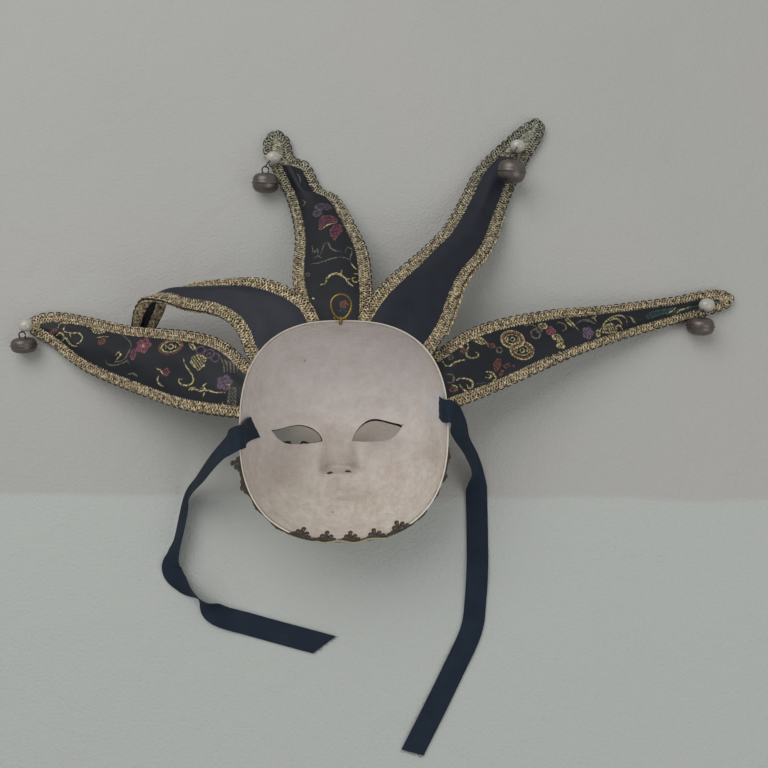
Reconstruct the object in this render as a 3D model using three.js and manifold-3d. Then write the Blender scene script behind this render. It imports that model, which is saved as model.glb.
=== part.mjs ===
// A jester's face mask with five bell-tipped horns, lying face down on its nose, hollow side up.
// Millimetres. +X is the picture's right, +Y points from chin to forehead, +Z is up off the floor.
import * as THREE from 'three';
import { mergeVertices } from 'three/addons/utils/BufferGeometryUtils.js';
import Module from 'manifold-3d';

const wasm = await Module();
wasm.setup();

// Driving dimensions of the face shell
const HALF_WIDTH = 80;
const HALF_HEIGHT = 85;
const WALL = 2.5;
const BOWL_DEPTH = 54;
const BOWL_SQUARENESS = 2.3;
const BROW_SQUARENESS = 2.6;
const JAW_SQUARENESS = 2.5;
const TEMPLE_LIFT = 8;
const NOSE_HEIGHT = 25.7;
const NOSE_BRIDGE = 8;
const NOSE_TIP = -34;
const NOSE_BASE = -42;

// How the shell lies: tipped up at the forehead, rolled up at its left, nose on the floor
const PITCH = THREE.MathUtils.degToRad(10);
const ROLL = THREE.MathUtils.degToRad(7);
const RIM_CENTRE_HEIGHT = 80;

// Trims and fittings
const GAP = 0.3;
const BRAID_WIDTH = 9;
const BRAID_THICKNESS = 4;
const FABRIC = 3;
const PEARL = 12.5;
const BELL_WIDTH = 23;
const BELL_LENGTH = 17;
const BELL_FLANGE = 26;
const BELL_EYE = 7;
const BELL_WIRE = 1.2;
const LOOP_WIRE = 1.5;
const RIBBON_WIDTH = 18;
const RIBBON_THICKNESS = 0.8;
const LACE_THICKNESS = 0.9;
const CORD = 2;

// The middle of the laid mask's footprint, measured from the point below the rim's centre
const FOOTPRINT_X = 23.63;
const FOOTPRINT_Y = 18.29;

const finishes = {
  papier_mache: { color: 0xcdc3b8, roughness: 0.85, metalness: 0 },
  brocade: { color: 0x2a2a30, roughness: 0.6, metalness: 0 },
  navy_satin: { color: 0x20232c, roughness: 0.55, metalness: 0 },
  gold_braid: { color: 0x9a885c, roughness: 0.5, metalness: 0.4 },
  bronze: { color: 0x5f5450, roughness: 0.4, metalness: 0.8 },
  pearl: { color: 0xd8d4c8, roughness: 0.25, metalness: 0 },
  brass_wire: { color: 0xa8863c, roughness: 0.35, metalness: 0.9 },
  ribbon: { color: 0x2d3440, roughness: 0.6, metalness: 0 },
  lace: { color: 0x5a4d3c, roughness: 0.7, metalness: 0.2 },
  black_cord: { color: 0x15151a, roughness: 0.7, metalness: 0 },
};

function named(name, geometry, finish) {
  const mesh = new THREE.Mesh(geometry, new THREE.MeshStandardMaterial(finishes[finish]));
  mesh.name = name;
  return mesh;
}

// Solids that need a cut or a join are made of bare geometry and turned back again
function bare(geometry) {
  geometry.deleteAttribute('normal');
  geometry.deleteAttribute('uv');
  return geometry;
}

function solidOf(geometry) {
  const merged = mergeVertices(bare(geometry.clone()), 1e-4);
  const vertProperties = new Float32Array(merged.attributes.position.array);
  const triVerts = new Uint32Array(merged.index.array);
  return new wasm.Manifold(new wasm.Mesh({ numProp: 3, vertProperties, triVerts }));
}

function geometryOf(solid) {
  const { vertProperties, triVerts } = solid.getMesh();
  const geometry = new THREE.BufferGeometry();
  geometry.setAttribute('position', new THREE.BufferAttribute(vertProperties, 3));
  geometry.setIndex(new THREE.BufferAttribute(triVerts, 1));
  return geometry;
}

// A closed skin over rows of points: every row is a ring, and both ends are closed by a fan
function skin(rows) {
  const positions = [];
  const index = [];
  const across = rows[0].length;
  rows.flat().forEach((point) => positions.push(point.x, point.y, point.z));
  for (let i = 0; i < rows.length - 1; i += 1) {
    for (let j = 0; j < across; j += 1) {
      const a = i * across + j;
      const b = i * across + ((j + 1) % across);
      index.push(a, b, b + across, a, b + across, a + across);
    }
  }
  const last = (rows.length - 1) * across;
  for (let j = 1; j < across - 1; j += 1) {
    index.push(0, j + 1, j);
    index.push(last, last + j, last + j + 1);
  }
  const geometry = new THREE.BufferGeometry();
  geometry.setAttribute('position', new THREE.Float32BufferAttribute(positions, 3));
  geometry.setIndex(index);
  return facingOut(geometry);
}

function facingOut(geometry) {
  const position = geometry.attributes.position;
  const index = geometry.index.array;
  const [a, b, c] = [new THREE.Vector3(), new THREE.Vector3(), new THREE.Vector3()];
  let volume = 0;
  for (let i = 0; i < index.length; i += 3) {
    a.fromBufferAttribute(position, index[i]);
    b.fromBufferAttribute(position, index[i + 1]);
    c.fromBufferAttribute(position, index[i + 2]);
    volume += a.dot(b.cross(c));
  }
  if (volume < 0) {
    for (let i = 0; i < index.length; i += 3) {
      [index[i], index[i + 1]] = [index[i + 1], index[i]];
    }
  }
  return geometry;
}

// The face shell's surface. u runs to the right, v to the forehead and w towards the viewer, from
// the rim's centre. The inset moves the outer surface inwards to give the inner one.
function swell(u, v, atU, atV, spreadU, spreadV) {
  return Math.exp(-(((u - atU) / spreadU) ** 2) - ((v - atV) / spreadV) ** 2);
}

function rimReach(u, v, inset) {
  const squareness = v > 0 ? BROW_SQUARENESS : JAW_SQUARENESS;
  const across = Math.abs(u / (HALF_WIDTH - inset)) ** squareness;
  const along = Math.abs(v / (HALF_HEIGHT - inset)) ** squareness;
  return (across + along) ** (1 / squareness);
}

function noseDepth(u, v, inset) {
  const rise = THREE.MathUtils.clamp((NOSE_BRIDGE - v) / (NOSE_BRIDGE - NOSE_TIP), 0, 1);
  const under = THREE.MathUtils.clamp((NOSE_TIP - v) / (NOSE_TIP - NOSE_BASE - inset), 0, 1);
  const profile = rise ** 1.25 * Math.cos((Math.PI / 2) * under) ** 0.7;
  const halfWidth = 6.5 + 9 * rise - 0.6 * inset;
  const wings = 5 * swell(Math.abs(u), v, 11, -36.5, 5, 4.5);
  return NOSE_HEIGHT * profile * Math.exp(-(Math.abs(u / halfWidth) ** 2.4)) + wings;
}

function faceRelief(u, v, inset) {
  const side = Math.abs(u);
  const softness = inset > 0 ? 0.5 : 1;
  const forehead = 6 * swell(u, v, 0, 38, 55, 26);
  const brows = 3.5 * swell(side, v, 27, 14, 20, 7);
  const eyeHollows = -7 * swell(side, v, 32, -3, 18, 10);
  const cheekbones = 4 * swell(side, v, 42, -30, 18, 15);
  const muzzle = 9 * swell(u, v, 0, -55, 26, 13);
  const upperLip = 3 * swell(u, v, 0, -51.5, 17, 2.6);
  const lowerLip = 3.5 * swell(u, v, 0, -59.5, 14, 3.2);
  const mouthLine = -2.5 * swell(u, v, 0, -55, 22, 1.6);
  const chin = 9 * swell(u, v, 0, -73, 16, 8);
  const lips = softness * (upperLip + lowerLip + mouthLine);
  return forehead + brows + eyeHollows + cheekbones + muzzle + lips + chin + noseDepth(u, v, inset);
}

function shellPoint(u, v, inset) {
  const reach = Math.min(1, rimReach(u, v, inset));
  const bowl = (BOWL_DEPTH - inset) * (1 - reach ** BOWL_SQUARENESS) ** (1 / BOWL_SQUARENESS);
  const relief = faceRelief(u, v, inset) * (1 - reach ** 8);
  const lift = TEMPLE_LIFT * (u / HALF_WIDTH) ** 2;
  return onOrAboveFloor(new THREE.Vector3(u, v, lift - bowl - relief));
}

// A place off the shell's surface: distances towards the viewer are positive
function offShell(u, v, inset, distance) {
  const at = shellPoint(u, v, inset);
  const alongU = shellPoint(u + 0.5, v, inset).sub(at);
  const alongV = shellPoint(u, v + 0.5, inset).sub(at);
  return at.addScaledVector(alongU.cross(alongV).normalize(), distance);
}

// The tip of the nose is worn flat where the mask rests on it
const floorNormal = new THREE.Vector3(
  -Math.sin(ROLL) * Math.cos(PITCH),
  Math.sin(PITCH),
  Math.cos(ROLL) * Math.cos(PITCH),
);

function onOrAboveFloor(point) {
  const height = floorNormal.dot(point) + RIM_CENTRE_HEIGHT;
  return height < 0 ? point.addScaledVector(floorNormal, -height) : point;
}

function rimPoint(angle, inset) {
  const [cos, sin] = [Math.cos(angle), Math.sin(angle)];
  const reach = rimReach(cos, sin, inset);
  return shellPoint(cos / reach, sin / reach, inset);
}

// A place by its angle round the rim, its offset into the wall from the front and its depth below
// the rim; a negative depth is above the rim
function rimSection(angle, offset, depth) {
  if (depth <= 0) {
    const rim = rimPoint(angle, offset);
    rim.z -= depth;
    return rim;
  }
  const rim = rimPoint(angle, offset);
  const reach = (1 - (depth / (BOWL_DEPTH - offset)) ** BOWL_SQUARENESS) ** (1 / BOWL_SQUARENESS);
  return shellPoint(rim.x * reach, rim.y * reach, offset);
}

// Rings spread from the tip of the nose to the rim, closest together at both
const SHELL_SPOKES = 45;
const SHELL_RINGS = 12;

function shellRing(step, rings, inset) {
  const t = step / rings;
  const spread = t ** 1.6 / (t ** 1.6 + (1 - t) ** 2);
  const ring = [];
  for (let spoke = 0; spoke < SHELL_SPOKES; spoke += 1) {
    const rim = rimPoint((spoke / SHELL_SPOKES) * 2 * Math.PI, inset);
    const u = rim.x * spread;
    const v = NOSE_TIP + (rim.y - NOSE_TIP) * spread;
    ring.push(step === rings ? rim : shellPoint(u, v, inset));
  }
  return ring;
}

function shellRings(rings, inset) {
  return Array.from({ length: rings }, (_, i) => shellRing(i + 1, rings, inset));
}

// One surface of the shell as triangles between its pole and its rings
function bowlSolid(outerRings, innerRings) {
  return skin([...outerRings, ...innerRings.reverse()]);
}

// Eye openings: almonds with a flat lower lid and a long outer corner. The left one sits lower and
// further out, as hand-cut openings do. Both are drawn with u growing outwards.
function eyeShape(side) {
  const shape = new THREE.Shape();
  if (side > 0) {
    shape.moveTo(10.5, -11.5);
    shape.bezierCurveTo(12.5, -1, 21, 7.5, 30, 7);
    shape.bezierCurveTo(37, 6.5, 43, 3, 51.5, 3);
    shape.bezierCurveTo(47.5, -4, 44, -10.5, 35, -11.2);
    return shape;
  }
  shape.moveTo(14, -11.3);
  shape.bezierCurveTo(15, -3.5, 25, 3, 35, 2.6);
  shape.bezierCurveTo(43, 2.2, 48, -1, 56, -1);
  shape.bezierCurveTo(52, -7, 48, -12.5, 40, -13);
  return shape;
}

function eyeCutter(side) {
  const depth = 95;
  const options = { depth, bevelEnabled: false, curveSegments: 4 };
  const geometry = new THREE.ExtrudeGeometry(eyeShape(side), options);
  geometry.translate(0, 0, 10 - depth);
  return side > 0 ? solidOf(geometry) : solidOf(geometry).mirror([1, 0, 0]);
}

function nostrilCutter(side) {
  const geometry = new THREE.CylinderGeometry(2, 2, 12, 8);
  geometry.scale(1.5, 1, 1);
  geometry.rotateX(THREE.MathUtils.degToRad(-18));
  geometry.translate(side * 7, NOSE_BASE, -64);
  return solidOf(geometry);
}

const LOOP_AT = -2.7;
const LOOP_HOLE_DEPTH = 6;

function loopHoleCutter() {
  const geometry = new THREE.CylinderGeometry(1.6, 1.6, 14, 8);
  geometry.translate(LOOP_AT, HALF_HEIGHT - 3, -LOOP_HOLE_DEPTH);
  return solidOf(geometry);
}

function faceShell() {
  const blank = bowlSolid(shellRings(SHELL_RINGS, 0), shellRings(SHELL_RINGS - 2, WALL));
  let shell = solidOf(blank);
  for (const side of [-1, 1]) {
    shell = shell.subtract(eyeCutter(side)).subtract(nostrilCutter(side));
  }
  return named('face_shell', geometryOf(shell.subtract(loopHoleCutter())), 'papier_mache');
}

// A round tube along a curve, closed at both ends
function tube(curve, radius, sides, steps) {
  const corner = (i) => {
    const angle = (i / sides) * 2 * Math.PI;
    return new THREE.Vector2(radius * Math.cos(angle), radius * Math.sin(angle));
  };
  const section = new THREE.Shape(Array.from({ length: sides }, (_, i) => corner(i)));
  const geometry = new THREE.ExtrudeGeometry(section, { steps, extrudePath: curve, bevelEnabled: false });
  return facingOut(mergeVertices(bare(geometry), 1e-4));
}

function curveThrough(list) {
  return new THREE.CatmullRomCurve3(list, false, 'centripetal');
}

function points(list) {
  return list.map(([x, y, z]) => new THREE.Vector3(x, y, z));
}

// The mask's own group carries the shell and all that is fixed to it. Horns and ribbons are laid
// out from the point on the floor below the rim's centre, so they need the shell's laid places too.
const mask = new THREE.Group();
mask.rotation.set(PITCH, ROLL, 0);
mask.position.set(0, 0, RIM_CENTRE_HEIGHT);
mask.updateMatrix();

function laid(place) {
  return place.clone().applyMatrix4(mask.matrix);
}

// The front of the shell with a hair's clearance, filled up to its rim, which horns are cut by
const shellEnvelope = solidOf(skin(shellRings(SHELL_RINGS, -GAP)).applyMatrix4(mask.matrix));

function cutAtShell(geometry) {
  const pieces = solidOf(geometry).subtract(shellEnvelope).decompose();
  pieces.sort((a, b) => b.volume() - a.volume());
  return geometryOf(pieces[0].simplify(0.02));
}

// Places along one sewn edge of a horn, with the direction in the fabric away from that edge
function edgePlace(edge, other, share) {
  const at = edge.getPointAt(share);
  const along = edge.getTangentAt(share);
  const inward = other.getPointAt(share).sub(at);
  inward.addScaledVector(along, -inward.dot(along)).normalize();
  return { at, along, inward };
}

function inset(place, distance) {
  return place.at.clone().addScaledVector(place.inward, distance);
}

// A horn is two layers of cloth over a stiffener, shaped by a camber across its width. Cloth and
// braid are lofted through the same cross-sections, given by their share of the horn's length.
const HORN_COLUMNS = 5;
const TIP_SHARES = [0.93, 0.98];

function clothShares({ stations, clothEnd }) {
  return Array.from({ length: stations + 1 }, (_, i) => (i / stations) * clothEnd);
}

function hornEdges({ upper, lower, tip }) {
  return [upper, lower].map((list) => curveThrough(points([...list, tip])));
}

function hornRow(horn, share, sewn, rise, columns) {
  const [upper, lower] = hornEdges(horn);
  const [top, bottom] = [edgePlace(upper, lower, share), edgePlace(lower, upper, share)];
  const [from, to] = [inset(top, sewn), inset(bottom, sewn)];
  const across = to.clone().sub(from);
  const face = top.along.clone().cross(across).normalize().multiplyScalar(horn.viewerSide);
  const [near, far] = [[], []];
  for (let column = 0; column <= columns; column += 1) {
    const part = column / columns;
    const middle = from.clone().addScaledVector(across, part);
    middle.addScaledVector(face, 4 * rise * part * (1 - part));
    near.push(middle.clone().addScaledVector(face, FABRIC / 2));
    far.push(middle.clone().addScaledVector(face, -FABRIC / 2));
  }
  return [...near, ...far.reverse()];
}

function hornPanel(horn) {
  const rows = clothShares(horn).map((share) => {
    const rise = horn.camber * Math.sin(Math.PI * share);
    return hornRow(horn, share, BRAID_WIDTH + horn.ease, rise, HORN_COLUMNS);
  });
  return cutAtShell(skin(rows));
}

// A ring of the braid round a place on its centreline
const BRAID_SIDES = 5;

function braidRing(middle, inward, face) {
  return Array.from({ length: BRAID_SIDES }, (_, i) => {
    const angle = (i / BRAID_SIDES) * 2 * Math.PI;
    const ring = middle.clone().addScaledVector(inward, (BRAID_WIDTH / 2) * Math.cos(angle));
    return ring.addScaledVector(face, (BRAID_THICKNESS / 2) * Math.sin(angle));
  });
}

// The braid runs up one edge, round the tip and back down the other, and covers the tip
function hornBraid(horn) {
  const [upper, lower] = hornEdges(horn);
  const shares = [...clothShares(horn), ...TIP_SHARES.filter((share) => share > horn.clothEnd)];
  const [up, down] = [[], []];
  let face;
  for (const share of shares) {
    const [top, bottom] = [edgePlace(upper, lower, share), edgePlace(lower, upper, share)];
    face = top.along.clone().cross(top.inward).normalize().multiplyScalar(horn.viewerSide);
    up.push(braidRing(inset(top, BRAID_WIDTH / 2), top.inward, face));
    down.push(braidRing(inset(bottom, BRAID_WIDTH / 2), bottom.inward, face));
  }
  const tip = new THREE.Vector3(...horn.tip);
  const back = upper.getPointAt(0.9).lerp(lower.getPointAt(0.9), 0.5).sub(tip).normalize();
  const end = braidRing(tip.addScaledVector(back, BRAID_WIDTH / 2), back, face);
  const cord = solidOf(skin([...up, end, ...down.reverse()]));
  const coverStart = horn.clothEnd + 0.015;
  const cover = [coverStart, (coverStart + 0.97) / 2, 0.97].map((share) => {
    return hornRow(horn, share, 0.45 * BRAID_WIDTH, 0, 1);
  });
  return cutAtShell(geometryOf(cord.add(solidOf(skin(cover)))));
}

function pearl([x, y], height, size) {
  const geometry = new THREE.SphereGeometry((size * PEARL) / 2, 10, 6);
  geometry.translate(x, y, height);
  return geometry;
}

// A jingle bell: two crimped halves with a flange between them and a wire eye on top
const BELL_TILT = THREE.MathUtils.degToRad(-15);

function bellProfile() {
  const [r, half, lip] = [BELL_WIDTH / 2, BELL_LENGTH / 2, 0.7];
  const dome = [[0, half], [0.52 * r, 0.95 * half], [0.86 * r, 0.66 * half], [r, lip]];
  const upperHalf = [...dome, [BELL_FLANGE / 2, lip]];
  const lowerHalf = upperHalf.map(([x, y]) => [x, -y]);
  return [...lowerHalf, ...upperHalf.reverse()].map(([x, y]) => new THREE.Vector2(x, y));
}

function bell([x, y], turn, surface, size) {
  const body = solidOf(facingOut(mergeVertices(bare(new THREE.LatheGeometry(bellProfile(), 9)), 1e-4)));
  const eye = new THREE.TorusGeometry((BELL_EYE - BELL_WIRE) / 2, BELL_WIRE / 2, 3, 8);
  eye.translate(0, BELL_LENGTH / 2 + BELL_EYE / 2 - BELL_WIRE, 0);
  const geometry = geometryOf(body.add(solidOf(eye)));
  geometry.scale(size, size, size);
  geometry.rotateX(BELL_TILT);
  geometry.rotateZ(THREE.MathUtils.degToRad(turn));
  geometry.computeBoundingBox();
  geometry.translate(x, y, surface - geometry.boundingBox.min.z);
  return geometry;
}

// The five horns, each by its two sewn edges from the shell out to the tip. The ease is the gap
// between the cloth and its braid, the stations are the cross-sections it is lofted through.
const horns = [
  {
    name: 'left',
    cloth: 'brocade',
    upper: [
      [-70, 49, 80], [-95, 72, 69], [-120, 83, 55], [-186, 96, 26], [-221, 106, 12],
      [-253, 113, 4], [-272, 111, 4],
    ],
    lower: [
      [-72, 8, 82], [-122, 17, 63], [-161, 31, 43], [-226, 60, 15], [-258, 83, 4],
      [-275, 93, 4],
    ],
    tip: [-283, 102, 4],
    camber: 5,
    viewerSide: 1,
    clothEnd: 0.9,
    pearl: [-276.5, 98],
    pearlHeight: 17,
    bell: [-279, 81],
    bellTurn: 14,
    bellSurface: 0,
    ease: 0.8,
    stations: 9,
    size: 0.88,
  },
  {
    name: 'left_curled',
    cloth: 'navy_satin',
    upper: [
      [-16, 78, 88], [-28, 101, 86], [-62, 121, 77], [-110, 125, 58], [-135, 122, 43],
      [-151, 117, 32], [-157, 109, 22], [-165, 100, 14], [-173, 90, 8],
    ],
    lower: [
      [-66, 44, 93], [-76, 58, 90], [-83, 75, 86], [-92, 85, 82], [-107, 93, 76],
      [-130, 99, 68], [-153, 109, 57], [-171, 113, 44], [-181, 107, 30], [-185, 98, 18],
      [-187, 88, 9],
    ],
    tip: [-183, 74, 4],
    camber: 3,
    viewerSide: 1,
    clothEnd: 0.86,
    pearl: [-177, 79],
    pearlHeight: 17,
    bell: [-168, 64],
    bellTurn: 30,
    bellSurface: 0,
    ease: 0.8,
    stations: 14,
    size: 0.95,
  },
  {
    name: 'upper_left',
    cloth: 'brocade',
    upper: [
      [20, 80, 68], [21, 115, 58], [17, 157, 38], [7, 183, 26], [-12, 219, 9], [-24, 226, 5],
      [-38, 252, 4], [-50, 257, 4], [-55, 274, 4],
    ],
    lower: [
      [-32, 80, 70], [-45, 126, 46], [-47, 179, 20], [-58, 221, 4], [-70, 245, 4],
      [-78, 261, 4], [-77, 276, 4],
    ],
    tip: [-66, 284, 4],
    camber: 6,
    viewerSide: 1,
    clothEnd: 0.78,
    pearl: [-68, 252.5],
    pearlHeight: 13.5,
    bell: [-74.5, 230],
    bellTurn: 10,
    bellSurface: 0,
    ease: 0.8,
    stations: 10,
    size: 1,
  },
  {
    name: 'upper_right',
    cloth: 'navy_satin',
    upper: [
      [4, 78, 88], [25, 114, 76], [63, 159, 42], [81, 182, 28], [98, 215, 13], [113, 246, 4],
      [141, 275, 4], [161, 291, 4],
    ],
    lower: [
      [66, 55, 82], [82, 84, 66], [99, 130, 42], [120, 160, 26], [136, 200, 10], [149, 232, 4],
      [160, 253, 4], [173, 275, 4], [176, 287, 4],
    ],
    tip: [171, 295, 4],
    camber: 6,
    viewerSide: -1,
    clothEnd: 0.82,
    pearl: [149.5, 263],
    pearlHeight: 15,
    bell: [142.5, 236.5],
    bellTurn: -10,
    bellSurface: 10,
    ease: 0.8,
    stations: 9,
    size: 1,
  },
  {
    name: 'right',
    cloth: 'brocade',
    upper: [
      [68, 64, 62], [105, 89, 51], [165, 107, 33], [213, 114, 21], [275, 125, 7], [326, 133, 4],
    ],
    lower: [
      [74, 16, 62], [89, 21, 61], [123, 36, 49], [191, 69, 29], [232, 85, 18], [273, 99, 8],
      [314, 111, 4], [332, 118, 4],
    ],
    tip: [338, 127, 4],
    camber: 5,
    viewerSide: -1,
    clothEnd: 0.92,
    pearl: [308, 116.5],
    pearlHeight: 17,
    bell: [303, 98.5],
    bellTurn: -12,
    bellSurface: 0,
    ease: 0.8,
    stations: 8,
    size: 1,
  },
];

function hornPieces(horn) {
  return [
    named(`horn_${horn.name}`, hornPanel(horn), horn.cloth),
    named(`braid_${horn.name}`, hornBraid(horn), 'gold_braid'),
    named(`pearl_${horn.name}`, pearl(horn.pearl, horn.pearlHeight, horn.size), 'pearl'),
    named(`bell_${horn.name}`, bell(horn.bell, horn.bellTurn, horn.bellSurface, horn.size), 'bronze'),
  ];
}

// A tie ribbon: a flat strip along a route. Each place on it is given with a lean in degrees, or
// with a guide that its width follows as near as it can.
const RIBBON_STATIONS = 27;

function ribbonSides(route) {
  return route.map(({ at, lean, guide }, i) => {
    const along = (route[i + 1] ?? route[i]).at.clone().sub((route[i - 1] ?? route[i]).at).normalize();
    if (guide) {
      return guide.clone().addScaledVector(along, -guide.dot(along)).normalize();
    }
    const side = along.clone().cross(new THREE.Vector3(0, 0, 1)).normalize();
    return side.applyAxisAngle(along, THREE.MathUtils.degToRad(lean));
  });
}

function ribbon(route) {
  const path = curveThrough(route.map(({ at }) => at));
  const sides = new THREE.CatmullRomCurve3(ribbonSides(route));
  const rows = Array.from({ length: RIBBON_STATIONS + 1 }, (_, i) => {
    const share = i / RIBBON_STATIONS;
    const along = path.getTangent(share);
    const side = sides.getPoint(share);
    side.addScaledVector(along, -side.dot(along)).setLength(RIBBON_WIDTH / 2);
    const face = side.clone().cross(along).setLength(RIBBON_THICKNESS / 2);
    const middle = path.getPoint(share);
    const corner = (a, b) => middle.clone().addScaledVector(side, a).addScaledVector(face, b);
    return [corner(1, 1), corner(-1, 1), corner(-1, -1), corner(1, -1)];
  });
  return skin(rows);
}

// The glued end climbs the inner wall from the first angle and depth and turns over the rim
function ribbonStart(side, fromDegrees, toDegrees, depths) {
  const places = [...depths.map((depth) => [WALL + 1.8, depth]), [WALL + 0.8, -1.7], [-2.2, -2.8]];
  return places.map(([offset, depth], i) => {
    const degrees = fromDegrees + ((toDegrees - fromDegrees) * i) / (places.length - 1);
    const angle = THREE.MathUtils.degToRad(degrees);
    const guide = rimPoint(angle + side * 0.05, 0).sub(rimPoint(angle - side * 0.05, 0));
    return { at: laid(rimSection(angle, offset, depth)), guide: guide.transformDirection(mask.matrix) };
  });
}

function ribbonRest(list) {
  return list.map(([x, y, z, lean]) => ({ at: new THREE.Vector3(x, y, z), lean }));
}

const leftRibbon = [
  ...ribbonStart(-1, 177.5, 183.5, [25, 19, 13, 8, 4]),
  ...ribbonRest([
    [-91, -15, 88, 10],
    [-112, -28, 52, 20],
    [-126, -38, 24, 55],
    [-135, -48, 10.5, 74],
    [-138, -64, 10, 74],
    [-142, -86, 9.5, 68],
    [-148, -104, 4.4, 15],
    [-141, -118, 4.4, 20],
    [-123, -132, 9, 60],
    [-107, -142, 4.4, 15],
    [-80, -150, 1.2, 0],
    [-19, -167, 1, 0],
  ]),
];

const rightRibbon = [
  ...ribbonStart(-1, 12.5, 9, [9, 5]),
  ...ribbonRest([
    [88, 5, 66, -10],
    [97, -8, 42, -5],
    [104, -17, 18, 0],
    [109, -26, 4, 0],
    [109, -40, 1.2, 0],
    [108.5, -80, 1, 0],
    [108, -107, 2, 0],
    [106.5, -130, 1, 0],
    [103, -154, 1, 0],
    [86, -190, 1, 0],
    [52.5, -253.5, 1, 0],
  ]),
];

// The lace is one strip round the lower rim. At the sides its scallops stand out past the rim; from
// cheek to cheek it folds over the rim, and its three-leaved flowers lie on the inner wall.
const LACE_FROM = THREE.MathUtils.degToRad(194.4);
const LACE_TO = THREE.MathUtils.degToRad(345.6);
const LACE_TURN = THREE.MathUtils.degToRad(9);
const LACE_DEPTH = 11;
const FLOWER_PITCH = THREE.MathUtils.degToRad(12.4);
const LACE_CENTRE = THREE.MathUtils.degToRad(275);
const CHIN_FOLD_FROM = THREE.MathUtils.degToRad(229);
const CHIN_FOLD_TO = THREE.MathUtils.degToRad(306);

const LACE_STAND_OFF = 0.45;

function scallop(angle) {
  return (0.5 + 0.5 * Math.cos((2 * Math.PI * (angle - LACE_CENTRE)) / FLOWER_PITCH)) ** 0.6;
}

// Sections of the lace as [offset, depth, normal offset, normal depth]: standing out, upright,
// upright past the rim, over the rim, and folded down inside
function laceSections(flower) {
  const out = -LACE_STAND_OFF - LACE_THICKNESS / 2;
  const inside = WALL + 2.5 * LACE_STAND_OFF + LACE_THICKNESS / 2;
  const root = [out, LACE_DEPTH, -1, 0];
  const shoulder = [out, out, -1, -1];
  return [
    [root, [out, 5, -1, 0], [out - 1.5 - flower, 2.6, -0.6, 0.8], [out - 2 - 4 * flower, 0.6, -0.5, 0.9]],
    [root, [out, 3, -1, 0], [out, 1, -1, 0], [out, -1.6, -1, 0]],
    [root, shoulder, [out, out - 0.6, -1, 0], [out, out - 1.2, -1, 0]],
    [root, shoulder, [inside - 0.8, out, 0, -1], [inside, out, 1, -1]],
    [root, shoulder, [inside, out, 1, -1], [inside, 1.5 + 7.5 * flower, 1, 0]],
  ];
}

// How far the lace is through its sections: 0 at the sides, 4 where it is folded down
function laceFold(angle) {
  const rising = THREE.MathUtils.smoothstep(angle, CHIN_FOLD_FROM - LACE_TURN, CHIN_FOLD_FROM);
  const falling = THREE.MathUtils.smoothstep(angle, CHIN_FOLD_TO, CHIN_FOLD_TO + LACE_TURN);
  return 3.999 * (rising - falling);
}

function laceRow(angle) {
  const sections = laceSections(scallop(angle));
  const fold = laceFold(angle);
  const [from, to] = [sections[Math.floor(fold)], sections[Math.floor(fold) + 1]];
  const [near, far] = [[], []];
  from.forEach((start, i) => {
    const mixed = start.map((value, k) => value + (to[i][k] - value) * (fold % 1));
    const [offset, depth, outward, downward] = mixed;
    const half = LACE_THICKNESS / 2;
    near.push(rimSection(angle, offset + half * outward, depth + half * downward));
    far.push(rimSection(angle, offset - half * outward, depth - half * downward));
  });
  return [...near, ...far.reverse()];
}

// Each flower takes four steps, and each step three where the lace turns over
function laceTrim() {
  const step = FLOWER_PITCH / 12;
  const rows = [];
  for (let i = 0; LACE_FROM + i * step < LACE_TO + step / 2; i += 1) {
    const angle = LACE_FROM + i * step;
    const turning = laceFold(angle) % 3.999 > 0;
    if (turning || i % 3 === 0) {
      rows.push(laceRow(angle));
    }
  }
  return skin(rows);
}

// A gold cord lies on the lace and shows past the rim at the chin
function chinCord() {
  const offset = -LACE_STAND_OFF - LACE_THICKNESS - GAP - CORD / 2;
  const path = Array.from({ length: 29 }, (_, i) => {
    const degrees = 200 + 5 * i;
    const { smoothstep } = THREE.MathUtils;
    const shown = smoothstep(degrees, 250, 264) - smoothstep(degrees, 286, 300);
    return rimSection(THREE.MathUtils.degToRad(degrees), offset, 7.5 - 7 * shown);
  });
  return tube(curveThrough(path), CORD / 2, 4, 32);
}

// Black cord glued round each eye opening on the front, its ends meeting at the inner corner
function eyeTrim(side) {
  const around = eyeShape(side).getSpacedPoints(16);
  const middle = around.reduce((sum, at) => sum.add(at), new THREE.Vector2()).divideScalar(17);
  const path = around.map((at) => {
    const away = at.clone().sub(middle);
    const { x, y } = at.add(away.setLength(1.6));
    return offShell(side * x, y, 0, -CORD / 2 - 7 * GAP);
  });
  return tube(curveThrough(path), CORD / 2 - 0.1, 4, 20);
}

// The hanging loop: a teardrop of wire whose twisted shank comes over the rim and back through
// a hole in the forehead
function hangingLoop() {
  const [halfWidth, halfHeight, above] = [8, 9.2, 1.6];
  const middle = HALF_HEIGHT + 2 + halfHeight;
  const ring = Array.from({ length: 17 }, (_, i) => {
    const angle = THREE.MathUtils.degToRad(-82 + (344 * i) / 16);
    const taper = 1 - 0.25 * (1 - Math.sin(angle)) / 2;
    const [across, along] = [halfWidth * taper * Math.cos(angle), halfHeight * Math.sin(angle)];
    return new THREE.Vector3(LOOP_AT + across, middle + along, above);
  });
  const [over, through] = [[[87.4, 1.6], [84, 2], [80.9, 0.6], [79.6, -3]], -LOOP_HOLE_DEPTH];
  const shank = [...over, [80.4, -5.4], [83, through], [88, through]];
  const shankPath = curveThrough(shank.map(([y, z]) => new THREE.Vector3(LOOP_AT, y, z)));
  const wire = solidOf(tube(curveThrough(ring), LOOP_WIRE / 2, 4, 18));
  return geometryOf(wire.add(solidOf(tube(shankPath, 1.2, 5, 9))));
}

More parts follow.
